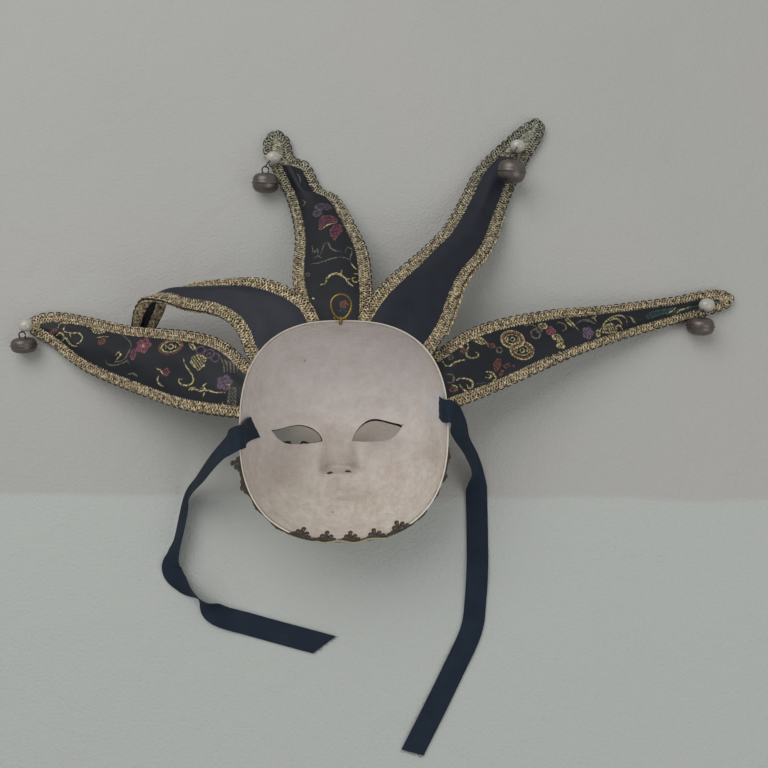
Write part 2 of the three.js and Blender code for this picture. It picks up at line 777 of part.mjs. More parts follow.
mask.add(
  faceShell(),
  named('lace_trim', laceTrim(), 'lace'),
  named('chin_cord', chinCord(), 'gold_braid'),
  named('eye_trim_left', eyeTrim(-1), 'black_cord'),
  named('eye_trim_right', eyeTrim(1), 'black_cord'),
  named('hanging_loop', hangingLoop(), 'brass_wire'),
);

const jesterMask = new THREE.Group();
jesterMask.position.set(-FOOTPRINT_X, -FOOTPRINT_Y, 0);
jesterMask.add(
  mask,
  ...horns.flatMap(hornPieces),
  named('ribbon_left', ribbon(leftRibbon), 'ribbon'),
  named('ribbon_right', ribbon(rightRibbon), 'ribbon'),
);

export default jesterMask;
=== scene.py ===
import math

import bpy
import numpy as np
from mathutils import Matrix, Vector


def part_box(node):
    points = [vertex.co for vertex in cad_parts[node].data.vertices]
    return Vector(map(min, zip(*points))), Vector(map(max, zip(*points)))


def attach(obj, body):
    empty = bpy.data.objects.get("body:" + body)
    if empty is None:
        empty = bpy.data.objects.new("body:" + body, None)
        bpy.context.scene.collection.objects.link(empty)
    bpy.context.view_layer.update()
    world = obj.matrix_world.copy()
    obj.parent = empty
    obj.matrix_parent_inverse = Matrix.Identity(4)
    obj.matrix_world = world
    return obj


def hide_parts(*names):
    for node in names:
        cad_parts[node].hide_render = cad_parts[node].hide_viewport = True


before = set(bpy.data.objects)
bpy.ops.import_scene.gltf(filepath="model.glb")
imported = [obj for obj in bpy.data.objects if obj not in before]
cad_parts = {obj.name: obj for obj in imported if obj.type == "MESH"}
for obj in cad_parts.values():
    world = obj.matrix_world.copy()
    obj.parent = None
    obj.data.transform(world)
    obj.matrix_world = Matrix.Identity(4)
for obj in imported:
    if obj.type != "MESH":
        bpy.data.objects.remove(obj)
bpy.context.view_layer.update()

# The view looks down at 80 degrees on a plain pale floor, under one broad soft light from the
# upper left and a weak fill from the right.
bpy.ops.object.select_all(action="DESELECT")
bpy.ops.object.camera_add(location=(0.0068, -0.1046, 0.776), rotation=(math.radians(10), 0, 0))
camera = bpy.context.object
camera.data.sensor_width = 36
PHOTO_PIXELS, FOCAL_PIXELS = 768, 910
camera.data.lens = 36 * FOCAL_PIXELS / PHOTO_PIXELS
camera.data.clip_start = 0.02
bpy.context.scene.camera = camera


def srgb(colour):
    """A hex sRGB colour as a linear one."""
    parts = [int(colour[i:i + 2], 16) / 255 for i in (1, 3, 5)]
    linear = [c / 12.92 if c <= 0.04045 else ((c + 0.055) / 1.055) ** 2.4 for c in parts]
    return (*linear, 1.0)


def plug(tree, node, inputs):
    """Sets inputs of a node. A node given as a value stands for its first output in use."""
    for name, value in inputs.items():
        if isinstance(value, bpy.types.Node):
            value = next(output for output in value.outputs if output.enabled)
        if isinstance(value, bpy.types.NodeSocket):
            tree.links.new(value, node.inputs[name])
        else:
            node.inputs[name].default_value = value


def add(tree, kind, inputs=None, **settings):
    """Adds a node with its settings, values and links."""
    made = tree.nodes.new("ShaderNode" + kind)
    for name, value in settings.items():
        setattr(made, name, value)
    plug(tree, made, inputs or {})
    return made


def new_material(name):
    material = bpy.data.materials.new(name)
    material.use_nodes = True
    return material, material.node_tree, material.node_tree.nodes["Principled BSDF"]


# White cotton sheet over white foam: flat pale greys that change at the fold, and a fine weave all over
cotton, tree, shader = new_material("cotton sheet over foam")
place = add(tree, "TexCoord").outputs["Object"]
parts = add(tree, "SeparateXYZ", {"Vector": place})
drift = add(tree, "TexNoise", {"Vector": place, "Scale": 5, "Detail": 3})
warm = add(tree, "Mix", {0: drift, 6: srgb("#b0b4ae"), 7: srgb("#bcb6b1")}, data_type="RGBA")
wander = add(tree, "Math", {0: drift, 1: 0.02, 2: parts.outputs["Y"]}, operation="MULTIPLY_ADD")
on_foam = add(tree, "MapRange", {"Value": wander, 1: -0.052, 2: -0.057})
foam = add(tree, "Mix", {0: on_foam, 6: warm, 7: srgb("#bdc0ba")}, data_type="RGBA")
weave = add(tree, "TexNoise", {"Vector": place, "Scale": 420, "Detail": 3})
slack = add(tree, "TexNoise", {"Vector": place, "Scale": 14, "Detail": 4, "Distortion": 1.2})
bump = add(tree, "Bump", {"Height": weave, "Strength": 1.0, "Distance": 0.001})
bump = add(tree, "Bump", {"Height": slack, "Strength": 0.22, "Distance": 0.012, "Normal": bump})
plug(tree, shader, {"Base Color": foam, "Normal": bump, "Roughness": 0.95, "Specular IOR Level": 0.1})
bpy.ops.mesh.primitive_plane_add(size=8, location=(0, 0, -0.0005))
floor = bpy.context.object
floor.name = "floor"
floor.data.materials.append(cotton)

world = bpy.data.worlds.new("soft room")
world.use_nodes = True
world.node_tree.nodes["Background"].inputs["Color"].default_value = srgb("#dfe1e4")
world.node_tree.nodes["Background"].inputs["Strength"].default_value = 0.55
bpy.context.scene.world = world
for name, place, size, power in (
    ("window light", (-0.65, 0.8, 1.4), 1.4, 13.0),
    ("fill light", (1.1, -0.7, 1.3), 1.2, 5.5),
):
    bpy.ops.object.light_add(type="AREA", location=place)
    light = bpy.context.object
    light.name = name
    light.data.size = size
    light.data.energy = power
    away = math.hypot(place[0], place[1])
    light.rotation_euler = (math.atan2(away, place[2]), 0, math.atan2(place[0], -place[1]))
bpy.context.scene.view_settings.view_transform = "Standard"

# Daylight that reaches the backing under the mask and shows through its eye openings
bpy.ops.object.light_add(type="AREA", location=(-0.014, 0, 0.016))
bounce = bpy.context.object
bounce.name = "light under the mask"
bounce.data.shape = "RECTANGLE"
bounce.data.size, bounce.data.size_y = 0.11, 0.03
bounce.data.energy = 0.006
bounce.data.color = (1.0, 0.84, 0.76)
bounce.visible_camera = False

# The face shell is papier mache pressed into a mould: 2.5 mm thick, sealed with white size on the
# inside, gessoed and painted ivory on the front; its edge is pared thin. It lies on its nose,
# hollow side up.
PITCH, ROLL = math.radians(10), math.radians(7)
RIM_CENTRE_HEIGHT = 80.0
FOOTPRINT = np.array([23.63, 18.29, 0])
HALF_WIDTH, HALF_HEIGHT, DEPTH, RIM_LIFT = 80, 85, 54, 8
WALL, PARED_EDGE = 2.5, 1.3
NOSE_TIP, NOSE_BRIDGE, NOSE_BASE = -34, 8, -42
ROUNDNESS = 2.3


def swell(u, v, at_u, at_v, spread_u, spread_v):
    """A rounded swelling, one high."""
    return np.exp(-((u - at_u) / spread_u) ** 2 - ((v - at_v) / spread_v) ** 2)


def rim_reach(u, v, inset):
    """How far out a place of the face is, from 0 in the middle to 1 at the rim."""
    squareness = np.where(v > 0, 2.6, 2.5)
    across = np.abs(u / (HALF_WIDTH - inset)) ** squareness
    along = np.abs(v / (HALF_HEIGHT - inset)) ** squareness
    return (across + along) ** (1 / squareness)


def face_relief(u, v, inset):
    """How far the features stand out of the plain bowl of the face."""
    side = np.abs(u)
    brow = 6 * swell(u, v, 0, 38, 55, 26) + 3.5 * swell(side, v, 27, 14, 20, 7)
    eyes = -7 * swell(side, v, 32, -3, 18, 10) + 4 * swell(side, v, 42, -30, 18, 15)
    lips = 1.4 * swell(u, v, 3, -54.2, 15, 2.6) + 1.9 * swell(u, v, 3, -62, 13, 3.2)
    lips -= 1.5 * swell(u, v - 0.4 * np.cos(0.4 * u), 3, -58, 22, 1.0)
    jaw = 9 * swell(u, v, 0, -55, 26, 13) + 9 * swell(u, v, 0, -73, 16, 8)
    rise = np.clip((NOSE_BRIDGE - v) / (NOSE_BRIDGE - NOSE_TIP), 0, 1)
    within = np.asarray(inset) > 0
    under = np.clip((NOSE_TIP + 1.5 * within - v) / (NOSE_TIP - NOSE_BASE - inset), 0, 1)
    profile = rise ** 1.25 * np.cos(np.pi / 2 * under) ** 0.7
    half_width = np.where(within, 10.6 + 3.2 * rise, 10 + 6.5 * rise)
    flank = np.exp(-np.abs(u / half_width) ** np.where(within, 4.2, 3.2))
    nose = np.where(within, 17.5, 25.7) * profile * flank
    return brow + eyes + lips + jaw + nose + 5 * swell(side, v, 11, -36.5, 5, 4.5)


def laid(points):
    """Turns points of the shell's own face frame to the way the mask lies."""
    u, v, w = points[..., 0], points[..., 1], points[..., 2]
    x = u * math.cos(ROLL) + w * math.sin(ROLL)
    z = w * math.cos(ROLL) - u * math.sin(ROLL)
    y = v * math.cos(PITCH) - z * math.sin(PITCH)
    z = v * math.sin(PITCH) + z * math.cos(PITCH) + RIM_CENTRE_HEIGHT
    return np.stack([x, y, np.maximum(z, 0)], axis=-1)


def face_places(points):
    """The u, v and w in the shell's own face frame of places where the mask lies."""
    x, y, z = np.moveaxis(points - [0, 0, RIM_CENTRE_HEIGHT], -1, 0)
    v = y * math.cos(PITCH) + z * math.sin(PITCH)
    z = z * math.cos(PITCH) - y * math.sin(PITCH)
    return x * math.cos(ROLL) - z * math.sin(ROLL), v, z * math.cos(ROLL) + x * math.sin(ROLL)


def rim_height(u):
    """How much higher the rim is at the sides than at the middle."""
    return RIM_LIFT * (u / HALF_WIDTH) ** 2


def shell_face(u, v, inset):
    """Places on the shell's front, or so far in from it."""
    reach = np.minimum(1, rim_reach(u, v, inset))
    bowl = (DEPTH - inset) * (1 - reach ** ROUNDNESS) ** (1 / ROUNDNESS)
    relief = face_relief(u, v, inset) * (1 - reach ** 8)
    return np.stack([u, v, rim_height(u) - bowl - relief], axis=-1)


def rim_face(angle, inset):
    cos, sin = np.cos(angle), np.sin(angle)
    reach = rim_reach(cos, sin, inset)
    return shell_face(cos / reach, sin / reach, inset)


def in_frame(points):
    """Millimetres from the point below the rim's centre, as metres in the row frame."""
    return (points - FOOTPRINT) / 1000


def corners_of(piece):
    corners = np.empty(len(piece.data.vertices) * 3)
    piece.data.vertices.foreach_get("co", corners)
    return corners.reshape(-1, 3)


def picked(*pieces):
    """Selects these pieces alone and makes the first one active."""
    bpy.ops.object.select_all(action="DESELECT")
    for piece in pieces:
        piece.select_set(True)
    bpy.context.view_layer.objects.active = pieces[0]


def formed(name, cells, place):
    """A grid primitive of so many cells whose corners are moved to place(s, t), with its UVs."""
    bpy.ops.mesh.primitive_grid_add(x_subdivisions=cells[0], y_subdivisions=cells[1], size=1)
    piece = bpy.context.object
    piece.name = piece.data.name = name
    s, t, _ = (corners_of(piece) + 0.5).T
    piece.data.vertices.foreach_set("co", in_frame(place(s, t)).ravel())
    piece.data.update()
    return piece


def closed_up(piece, distance=0.00002):
    """Merges the doubles at seams and poles and turns the faces outwards."""
    picked(piece)
    bpy.ops.object.mode_set(mode="EDIT")
    bpy.ops.mesh.select_all(action="SELECT")
    bpy.ops.mesh.remove_doubles(threshold=distance)
    bpy.ops.mesh.normals_make_consistent(inside=False)
    bpy.ops.object.mode_set(mode="OBJECT")
    bpy.ops.object.shade_smooth()


def handed_over(piece, material, slot, *nodes):
    """Gives a finished piece its material, its body and the solids that it stands for; the slot is not
    used.
    """
    piece.data.materials.clear()
    piece.data.materials.append(material)
    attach(piece, "root")
    if nodes:
        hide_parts(*nodes)


EDGE_START = 0.485


def shell_skin(s, t):
    """The outer surface from the nose to the rim, over the cut edge, and the inner one back."""
    angle = s * 2 * np.pi
    depth = np.clip(np.where(t < 0.5, t, 1 - t) / EDGE_START, 0, 1)
    spread = depth ** 1.15 / (depth ** 1.15 + 0.75 * (1 - depth) ** 1.7 + 1e-9)
    faces = []
    for wall in (0.0, 1.0):
        inset = wall * (PARED_EDGE + (WALL - PARED_EDGE) * np.clip((1 - depth) / 0.12, 0, 1) ** 0.7)
        rim = rim_face(angle, inset)
        u, v = rim[:, 0] * spread, NOSE_TIP + (rim[:, 1] - NOSE_TIP) * spread
        face = shell_face(u, v, inset)
        crest = shell_face(rim[:, 0] * 0.9999, rim[:, 1] * 0.9999, inset) if wall else rim
        faces.append(np.where(depth[:, None] < 1, face, crest))
    edge = np.clip((t - EDGE_START) / (1 - 2 * EDGE_START), 0, 1)[:, None]
    face = faces[0] * (1 - edge) + faces[1] * edge
    face[:, 2] += 0.25 * np.sin(np.pi * edge[:, 0])
    return laid(face)


shell = formed("shell", (256, 230), shell_skin)
closed_up(shell)


def cutter(name, outline, low, high):
    """A prism through the shell, from its outline in the face frame."""
    bpy.ops.mesh.primitive_circle_add(vertices=len(outline), fill_type="NGON")
    tool = bpy.context.object
    tool.name = name
    bpy.ops.object.mode_set(mode="EDIT")
    bpy.ops.mesh.select_all(action="SELECT")
    bpy.ops.mesh.extrude_region_move()
    bpy.ops.object.mode_set(mode="OBJECT")
    levels = np.repeat([low, high], len(outline))
    places = np.column_stack([np.vstack([outline, outline]), levels])
    tool.data.vertices.foreach_set("co", in_frame(laid_through(places)).ravel())
    tool.data.update()
    closed_up(tool)
    return tool


def laid_through(points):
    """As laid(), but free to pass below the floor."""
    lift = 400.0
    across = [math.sin(ROLL), -math.cos(ROLL) * math.sin(PITCH), math.cos(ROLL) * math.cos(PITCH)]
    return laid(points + [0, 0, lift]) - lift * np.array(across)


def bezier(start, *spans):
    """Points along joined cubic curves, each given by two handles and an end."""
    path = []
    for first, second, end in spans:
        t = np.linspace(0, 1, 13)[:-1, None]
        a, b, c, d = (np.array(p, float) for p in (start, first, second, end))
        path.append(a * (1 - t) ** 3 + 3 * b * t * (1 - t) ** 2 + 3 * c * t * t * (1 - t) + d * t ** 3)
        start = end
    return np.vstack(path)


eye_outlines = {
    -1: bezier(
        (-14, -11.3),
        ((-15, -3.5), (-25, 3), (-35, 2.6)),
        ((-43, 2.2), (-48, -1), (-56, -1)),
        ((-52, -7), (-48, -12.5), (-40, -13)),
        ((-31, -13.5), (-22, -13), (-14, -11.3)),
    ),
    1: bezier(
        (10.5, -11.5),
        ((12.5, -1), (21, 7.5), (30, 7)),
        ((37, 6.5), (43, 3), (51.5, 3)),
        ((47.5, -4), (44, -10.5), (35, -11.2)),
        ((27, -12), (18, -12), (10.5, -11.5)),
    ),
}
turn = np.linspace(0, 2 * np.pi, 20, endpoint=False)
nostril = np.column_stack([2.6 * np.cos(turn), 1.0 * np.sin(turn) - 0.3 * np.cos(turn)])
tools = []
for side in (-1, 1):
    nostril_at = [side * 7.7, -37.6 + 0.4 * side]
    tools.append(cutter("eye cutter", eye_outlines[side], -85, 10))
    tools.append(cutter("nostril cutter", nostril * [side, 1] + nostril_at, -88, -44))
for tool in tools:
    cut = shell.modifiers.new("opening", "BOOLEAN")
    cut.object = tool
    cut.operation = "DIFFERENCE"
    cut.solver = "EXACT"
    picked(shell)
    bpy.ops.object.modifier_apply(modifier=cut.name)
    bpy.data.objects.remove(tool, do_unlink=True)
bpy.ops.object.shade_smooth_by_angle(angle=math.radians(40))


def stored(piece, label, amounts):
    """Keeps three numbers for each place of a mesh as the parts of a colour."""
    layer = piece.data.attributes.new(label, "FLOAT_COLOR", "POINT")
    layer.data.foreach_set("color", np.column_stack([*amounts, np.ones(len(layer.data))]).ravel())


# The marks of age and glue say how pink, how brown and how glued each place is. The others say how
# far it lies below the rim, in shares of 20 mm, whether it is on the front, and its painted shade.
u, y, w = face_places(corners_of(shell) * 1000 + FOOTPRINT)
below = rim_height(u) - w
front = w < 0.5 * (shell_face(u, y, 0.0)[:, 2] + shell_face(u, y, WALL)[:, 2])
front |= rim_reach(u, y, PARED_EDGE * 0.6) >= 1
pink = swell(u, y, -50, -39, 8, 7) + 0.8 * swell(u, y, 45, -37, 9, 8) + 0.7 * swell(u, y, -10, 0, 6, 8)
pink += 0.7 * swell(u, y, 3, -58, 22, 4)
brown = 0.9 * swell(u, y, -35, -41, 9, 6) + swell(u, y, 71, -17, 6, 16)
brown += 0.5 * swell(u, y, 30, -62, 26, 14) + 0.7 * swell(u, y, -2.7, 78, 7, 3)
brown += 0.6 * swell(u, y, -66, 28, 7, 12)
# Painted shade: a darker colour over the left cheek and, more faintly, the deep middle of the face
painted_shade = swell(u, y, -48, -28, 24, 30) + 0.3 * swell(u, y, 0, -40, 40, 30)
glue = np.clip(4.5 - np.abs(u - 73), 0, 1) * np.clip((9 - np.abs(y - 20)) / 2, 0, 1)
stored(shell, "marks", (pink, brown, glue))
stored(shell, "edge", (below / 20, front * 1.0, painted_shade))

# Papier mache sealed with white size: matt greige pulp with a fine gauze print inside and a pale
# cut edge with a brown line of painted shade under it; the front is gesso under ivory paint with a
# slight sheen
papier, tree, shader = new_material("sized papier mache")
place = add(tree, "TexCoord").outputs["Object"]
fibres = add(tree, "TexNoise", {"Vector": place, "Scale": 900, "Detail": 4, "Roughness": 0.7})
mottle = add(tree, "TexNoise", {"Vector": place, "Scale": 85, "Detail": 6, "Roughness": 0.75})
blots = add(tree, "TexNoise", {"Vector": place, "Scale": 230, "Detail": 4, "Roughness": 0.7})
open_weave = {"Vector": place, "Scale": 230, "Distortion": 2.5, "Detail": 1}
gauze_x = add(tree, "TexWave", open_weave)
gauze_y = add(tree, "TexWave", open_weave, bands_direction="Y")
gauze = add(tree, "Math", {0: gauze_x.outputs["Fac"], 1: gauze_y.outputs["Fac"]}, operation="MULTIPLY")
marks = add(tree, "SeparateColor", {"Color": add(tree, "Attribute", attribute_name="marks")})
edges = add(tree, "SeparateColor", {"Color": add(tree, "Attribute", attribute_name="edge")})
parts = add(tree, "SeparateXYZ", {"Vector": place})
low = add(tree, "MapRange", {"Value": parts.outputs["Y"], 1: 0.03, 2: -0.07})
mottled = add(tree, "MapRange", {"Value": mottle, 1: 0.3, 2: 0.7})
cool = add(tree, "Mix", {0: mottled, 6: srgb("#c8beb8"), 7: srgb("#d9d1cd")}, data_type="RGBA")
yellow = add(tree, "Mix", {0: mottled, 6: srgb("#c5b9ab"), 7: srgb("#e3dbd1")}, data_type="RGBA")
colour = add(tree, "Mix", {0: low, 6: cool, 7: yellow}, data_type="RGBA")
most = add(tree, "MapRange", {"Value": low, 3: 0.05, 4: 0.3})
stained = add(tree, "MapRange", {"Value": blots, 1: 0.45, 2: 0.75, 3: 0, "To Max": most})
tones = [(stained, "#9a8b7c")]
for channel, tone, most in (
    ("Red", "#b58d84", 0.34), ("Green", "#a08a73", 0.4), ("Blue", "#c3c8d4", 0.55),
):
    patchy = add(tree, "MapRange", {"Value": blots, 1: 0.3, 2: 0.7, 3: 0.35 * most, 4: most})
    amount = add(tree, "Math", {0: marks.outputs[channel], 1: patchy}, operation="MULTIPLY")
    tones.append((amount, tone))
# Painted shade: the stored shade amount darkens the colour towards greige
painted_shade_amount = add(tree, "Math", {0: edges.outputs["Blue"], 1: 0.45}, operation="MULTIPLY")
thin = add(tree, "MapRange", {"Value": gauze, 1: 0.1, 2: 0.6, 3: 0.0, 4: 0.16})
specks = add(tree, "TexVoronoi", {"Vector": place, "Scale": 34, "Randomness": 1})
speck = add(tree, "MapRange", {"Value": specks, 1: 0.02, 2: 0.045, 3: 0.55, 4: 0})
# Painted shade: a brown line just under the pared cut edge, broken up by the mottle
line = add(tree, "MapRange", {"Value": edges.outputs["Red"], 1: 0.05, 2: 0.2, 3: 0.85, 4: 0})
shade_line_breaks = add(tree, "MapRange", {"Value": mottle, 1: 0.4, 2: 0.6, 3: 0.15, 4: 1})
line = add(tree, "Math", {0: line, 1: shade_line_breaks}, operation="MULTIPLY")
cut = add(tree, "MapRange", {"Value": edges.outputs["Red"], 1: 0.02, 2: 0.05, 3: 1, 4: 0})
tones += [(painted_shade_amount, "#9b9087"), (thin, "#8f8376"), (speck, "#6d5a4a"), (line, "#8a7460")]
tones += [(cut, "#efe7dc"), (edges.outputs["Green"], "#e4ddcc")]
for amount, tone in tones:
    colour = add(tree, "Mix", {0: amount, 6: colour, 7: srgb(tone)}, data_type="RGBA")
rough = add(tree, "MapRange", {"Value": edges.outputs["Green"], 3: 0.82, 4: 0.42})
bump = add(tree, "Bump", {"Height": fibres, "Strength": 0.25, "Distance": 0.0004})
bump = add(tree, "Bump", {"Height": gauze, "Strength": 0.3, "Distance": 0.0004, "Normal": bump})
bump = add(tree, "Bump", {"Height": mottle, "Strength": 0.3, "Distance": 0.001, "Normal": bump})
plug(tree, shader, {"Base Color": colour, "Roughness": rough, "Normal": bump})
plug(tree, shader, {"Specular IOR Level": 0.3})
handed_over(shell, papier, "papier_mache", "face_shell")


def spline(places, share):
    """Places along the smooth curve through a list of places; the shares run from 0 to 1."""
    p = np.array(places, float)
    p = np.vstack([2 * p[0] - p[1], p, 2 * p[-1] - p[-2]])
    step = np.clip(share, 0, 1) * (len(p) - 3)
    span = np.minimum(step.astype(int), len(p) - 4)
    w = (step - span)[:, None]
    a, b, c, d = p[span], p[span + 1], p[span + 2], p[span + 3]
    ab, bc, cd = (np.maximum(length(r - q), 1e-4)[:, None] ** 0.5 for q, r in ((a, b), (b, c), (c, d)))
    leave = ((b - a) / ab - (c - a) / (ab + bc) + (c - b) / bc) * bc
    arrive = ((c - b) / bc - (d - b) / (bc + cd) + (d - c) / cd) * bc
    bend = 3 * (c - b) - 2 * leave - arrive
    turn = 2 * (b - c) + leave + arrive
    return b + leave * w + bend * w ** 2 + turn * w ** 3


def length(vectors):
    return np.linalg.norm(vectors, axis=-1)


def unit(vectors):
    return vectors / np.maximum(length(vectors), 1e-9)[..., None]


def square_to(along, vectors):
    """The part of the vectors that is square to the unit directions, made one long."""
    return unit(vectors - along * np.sum(vectors * along, axis=-1)[..., None])


def gone_along(line):
    """How far each place of a line is from its start."""
    return np.concatenate([[0], np.cumsum(length(np.diff(line, axis=0)))])


def evened(line, count):
    """The same line as so many places evenly spaced by length."""
    gone = gone_along(line)
    return at(line, np.interp(np.linspace(0, gone[-1], count), gone, np.linspace(0, 1, len(line))))


def at(line, share):
    """The values between the rows of a line, by the share of its steps."""
    index = np.clip(share, 0, 1) * (len(line) - 1)
    low = np.minimum(index.astype(int), len(line) - 2)
    return line[low] + (index - low)[..., None] * (line[low + 1] - line[low])


def cord(name, line, side, width, thickness, sides=6):
    """A tube of oval section along a line, closed at both ends; side points across its width."""
    along = unit(np.gradient(line, axis=0))
    side = square_to(along, side)
    up = np.cross(side, along)

    def place(s, t):
        step = np.rint(t * (len(line) - 1)).astype(int)
        open_part = np.where((t < 1e-6) | (t > 1 - 1e-6), 0, 0.5)[:, None]
        round_part = width * np.cos(2 * np.pi * s)[:, None] * side[step]
        flat_part = thickness * np.sin(2 * np.pi * s)[:, None] * up[step]
        return line[step] + open_part * (round_part + flat_part)

    piece = formed(name, (sides, len(line) - 1), place)
    closed_up(piece, 0.000002)
    return piece


def joined(name, pieces):
    picked(*pieces)
    bpy.ops.object.join()
    pieces[0].name = pieces[0].data.name = name
    return pieces[0]


def twisted(name, line, side, radius, thickness, pitch, strands=2, steps=10):
    """Round strands laid round each other along a line."""
    total = length(np.diff(line, axis=0)).sum()
    line = evened(line, int(total / pitch * steps))
    along = unit(np.gradient(line, axis=0))
    side = square_to(along, side)
    up = np.cross(side, along)
    made = []
    for strand in range(strands):
        angle = 2 * np.pi * (np.arange(len(line)) / steps + strand / strands)[:, None]
        off = side * np.cos(angle) + up * np.sin(angle)
        made.append(cord(name, line + radius * off, off, thickness, thickness))
    return joined(name, made)


# Each horn is two layers of cloth over a buckram stiffener, sewn into a shallow trough that is
# glued behind the brow. The cloth's edges run under the braid, and the tip is all braid. Places
# are in mm from below the rim's centre, the viewer's side of a horn is 1 or -1, and "braid" and
# "narrowest" are the braid's usual and least width.
horns = {
    "left": {
        "upper": [
            (-70, 49, 80), (-95, 72, 69), (-120, 83, 55), (-186, 96, 26), (-221, 106, 12),
            (-253, 113, 4), (-272, 111, 4),
        ],
        "lower": [
            (-72, 8, 82), (-122, 17, 63), (-161, 31, 43), (-226, 60, 15), (-258, 83, 4),
            (-275, 93, 4),
        ],
        "tip": (-283, 102, 4), "camber": 5, "viewer": 1, "cloth_end": 0.96, "braid": 9.2,
        "narrowest": 9.2,
    },
    "left_curled": {
        "upper": [
            (-16, 78, 88), (-28, 101, 86), (-62, 121, 77), (-110, 125, 58), (-135, 122, 43),
            (-151, 117, 32), (-157, 109, 22), (-165, 100, 14), (-173, 90, 8),
        ],
        "lower": [
            (-66, 44, 93), (-76, 58, 90), (-83, 75, 86), (-92, 85, 82), (-107, 93, 76),
            (-130, 99, 68), (-153, 109, 57), (-171, 113, 44), (-181, 107, 30), (-185, 98, 18),
            (-187, 88, 9),
        ],
        "tip": (-183, 74, 4), "camber": 3, "viewer": 1, "cloth_end": 0.985, "braid": 10.4,
        "narrowest": 5.2,
    },
    "upper_left": {
        "upper": [
            (20, 80, 68), (21, 115, 58), (17, 157, 38), (7, 183, 26), (-12, 219, 9), (-24, 226, 5),
            (-38, 252, 4), (-50, 257, 4), (-55, 274, 4),
        ],
        "lower": [
            (-32, 80, 70), (-45, 126, 46), (-47, 179, 20), (-58, 221, 4), (-70, 245, 4),
            (-78, 261, 4), (-77, 276, 4),
        ],
        "tip": (-66, 284, 4), "camber": 6, "viewer": 1, "cloth_end": 0.8, "braid": 10.6,
        "narrowest": 10.6,
    },
    "upper_right": {
        "upper": [
            (4, 78, 88), (25, 114, 76), (63, 159, 42), (81, 182, 28), (98, 215, 13), (113, 246, 4),
            (141, 275, 4), (161, 291, 4),
        ],
        "lower": [
            (66, 55, 82), (82, 84, 66), (99, 130, 42), (120, 160, 26), (136, 200, 10),
            (149, 232, 4), (160, 253, 4), (173, 275, 4), (176, 287, 4),
        ],
        "tip": (171, 295, 4), "camber": 6, "viewer": -1, "cloth_end": 0.82, "braid": 10.6,
        "narrowest": 10.6,
    },
    "right": {
        "upper": [
            (68, 64, 62), (105, 89, 51), (165, 107, 33), (213, 114, 21), (275, 125, 7),
            (326, 133, 4),
        ],
        "lower": [
            (74, 16, 62), (89, 21, 61), (123, 36, 49), (191, 69, 29), (232, 85, 18), (273, 99, 8),
            (314, 111, 4), (332, 118, 4),
        ],
        "tip": (338, 127, 4), "camber": 5, "viewer": -1, "cloth_end": 0.965, "braid": 9.2,
        "narrowest": 9.2,
    },
}
EDGE_STEPS = 800
for horn in horns.values():
    for edge in ("upper", "lower"):
        dense = spline([*horn[edge], horn["tip"]], np.linspace(0, 1, 4 * EDGE_STEPS))
        horn[edge] = evened(dense, EDGE_STEPS)
        horn[edge + " along"] = unit(np.gradient(horn[edge], axis=0))
    across = horn["lower"] - horn["upper"]
    horn["upper inward"] = square_to(horn["upper along"], across)
    horn["lower inward"] = square_to(horn["lower along"], -across)
    for edge in ("upper", "lower"):
        last = int(0.985 * EDGE_STEPS)
        horn[edge + " inward"][last:] = horn[edge + " inward"][last]
    horn["face"] = unit(np.cross(horn["upper along"], horn["upper inward"])) * horn["viewer"]


def in_shell(points):
    """Which places lie within the shell's front, or closer to it than half a millimetre."""
    u, v, w = face_places(points)
    surface = shell_face(u, v, 0.0)[..., 2]
    return (rim_reach(u, v, -0.5) < 1) & (w > surface - 0.5) & (w < rim_height(u) + 0.8)


def leaving_share(place_at):
    """The share of a horn's length at which a line along it comes out of the shell."""
    shares = np.linspace(0, 0.45, 500)
    covered = np.nonzero(in_shell(place_at(shares)))[0]
    return shares[covered[-1] + 1] if len(covered) else 0.0


def braid_width(horn, share):
    """The braid's width, which is drawn in to a third of the breadth where a horn is narrow."""
    breadth = length(at(horn["lower"], share) - at(horn["upper"], share))
    return np.clip(0.34 * breadth, horn["narrowest"], horn["braid"])


def cloth_places(horn, share, part):
    """Places on the cloth, which starts just under the braid's inner edge."""
    breadth = length(at(horn["lower"], share) - at(horn["upper"], share))
    sewn = np.minimum(braid_width(horn, share) - 2.4, 0.36 * breadth)[:, None]
    start = at(horn["upper"], share) + sewn * at(horn["upper inward"], share)
    end = at(horn["lower"], share) + sewn * at(horn["lower inward"], share)
    face = unit(np.cross(at(horn["upper along"], share), end - start)) * horn["viewer"]
    rise = 4 * horn["camber"] * np.sin(np.pi * share) * part * (1 - part)
    return start + (end - start) * part[:, None] + face * rise[:, None], face


def thickened(piece, label, thickness):
    """Gives a sheet its thickness, half to either side."""
    solid = piece.modifiers.new(label, "SOLIDIFY")
    solid.thickness = thickness
    solid.offset = 0
    bpy.ops.object.shade_smooth()


def horn_cloth(name, horn, cells):
    """The cloth of a horn from where it leaves the shell, puckered along its seams."""
    lines = np.linspace(0, 1, cells[1] + 1)
    begin = []
    for part in lines:
        begin.append(leaving_share(lambda share: cloth_places(horn, share, 0 * share + part)[0]))
    phase = 1.7 * len(name)

    def place(s, t):
        first = np.interp(t, lines, begin)
        share = first + s * (horn["cloth_end"] - first)
        points, face = cloth_places(horn, share, t)
        seam = np.exp(-np.minimum(t, 1 - t) / 0.1)
        free = np.sin(np.pi * t)
        pull = 0.5 * np.sin(95 * share + 2.2 * np.sin(23 * share + phase)) * seam * free
        fold = 0.7 * np.sin(9 * t + 5 * share + phase) * np.sin(13 * share + phase) * free
        return points + face * (pull + fold)[:, None]

    piece = formed("cloth_" + name, cells, place)
    thickened(piece, "two layers of cloth over a stiffener", 0.0022)
    return piece


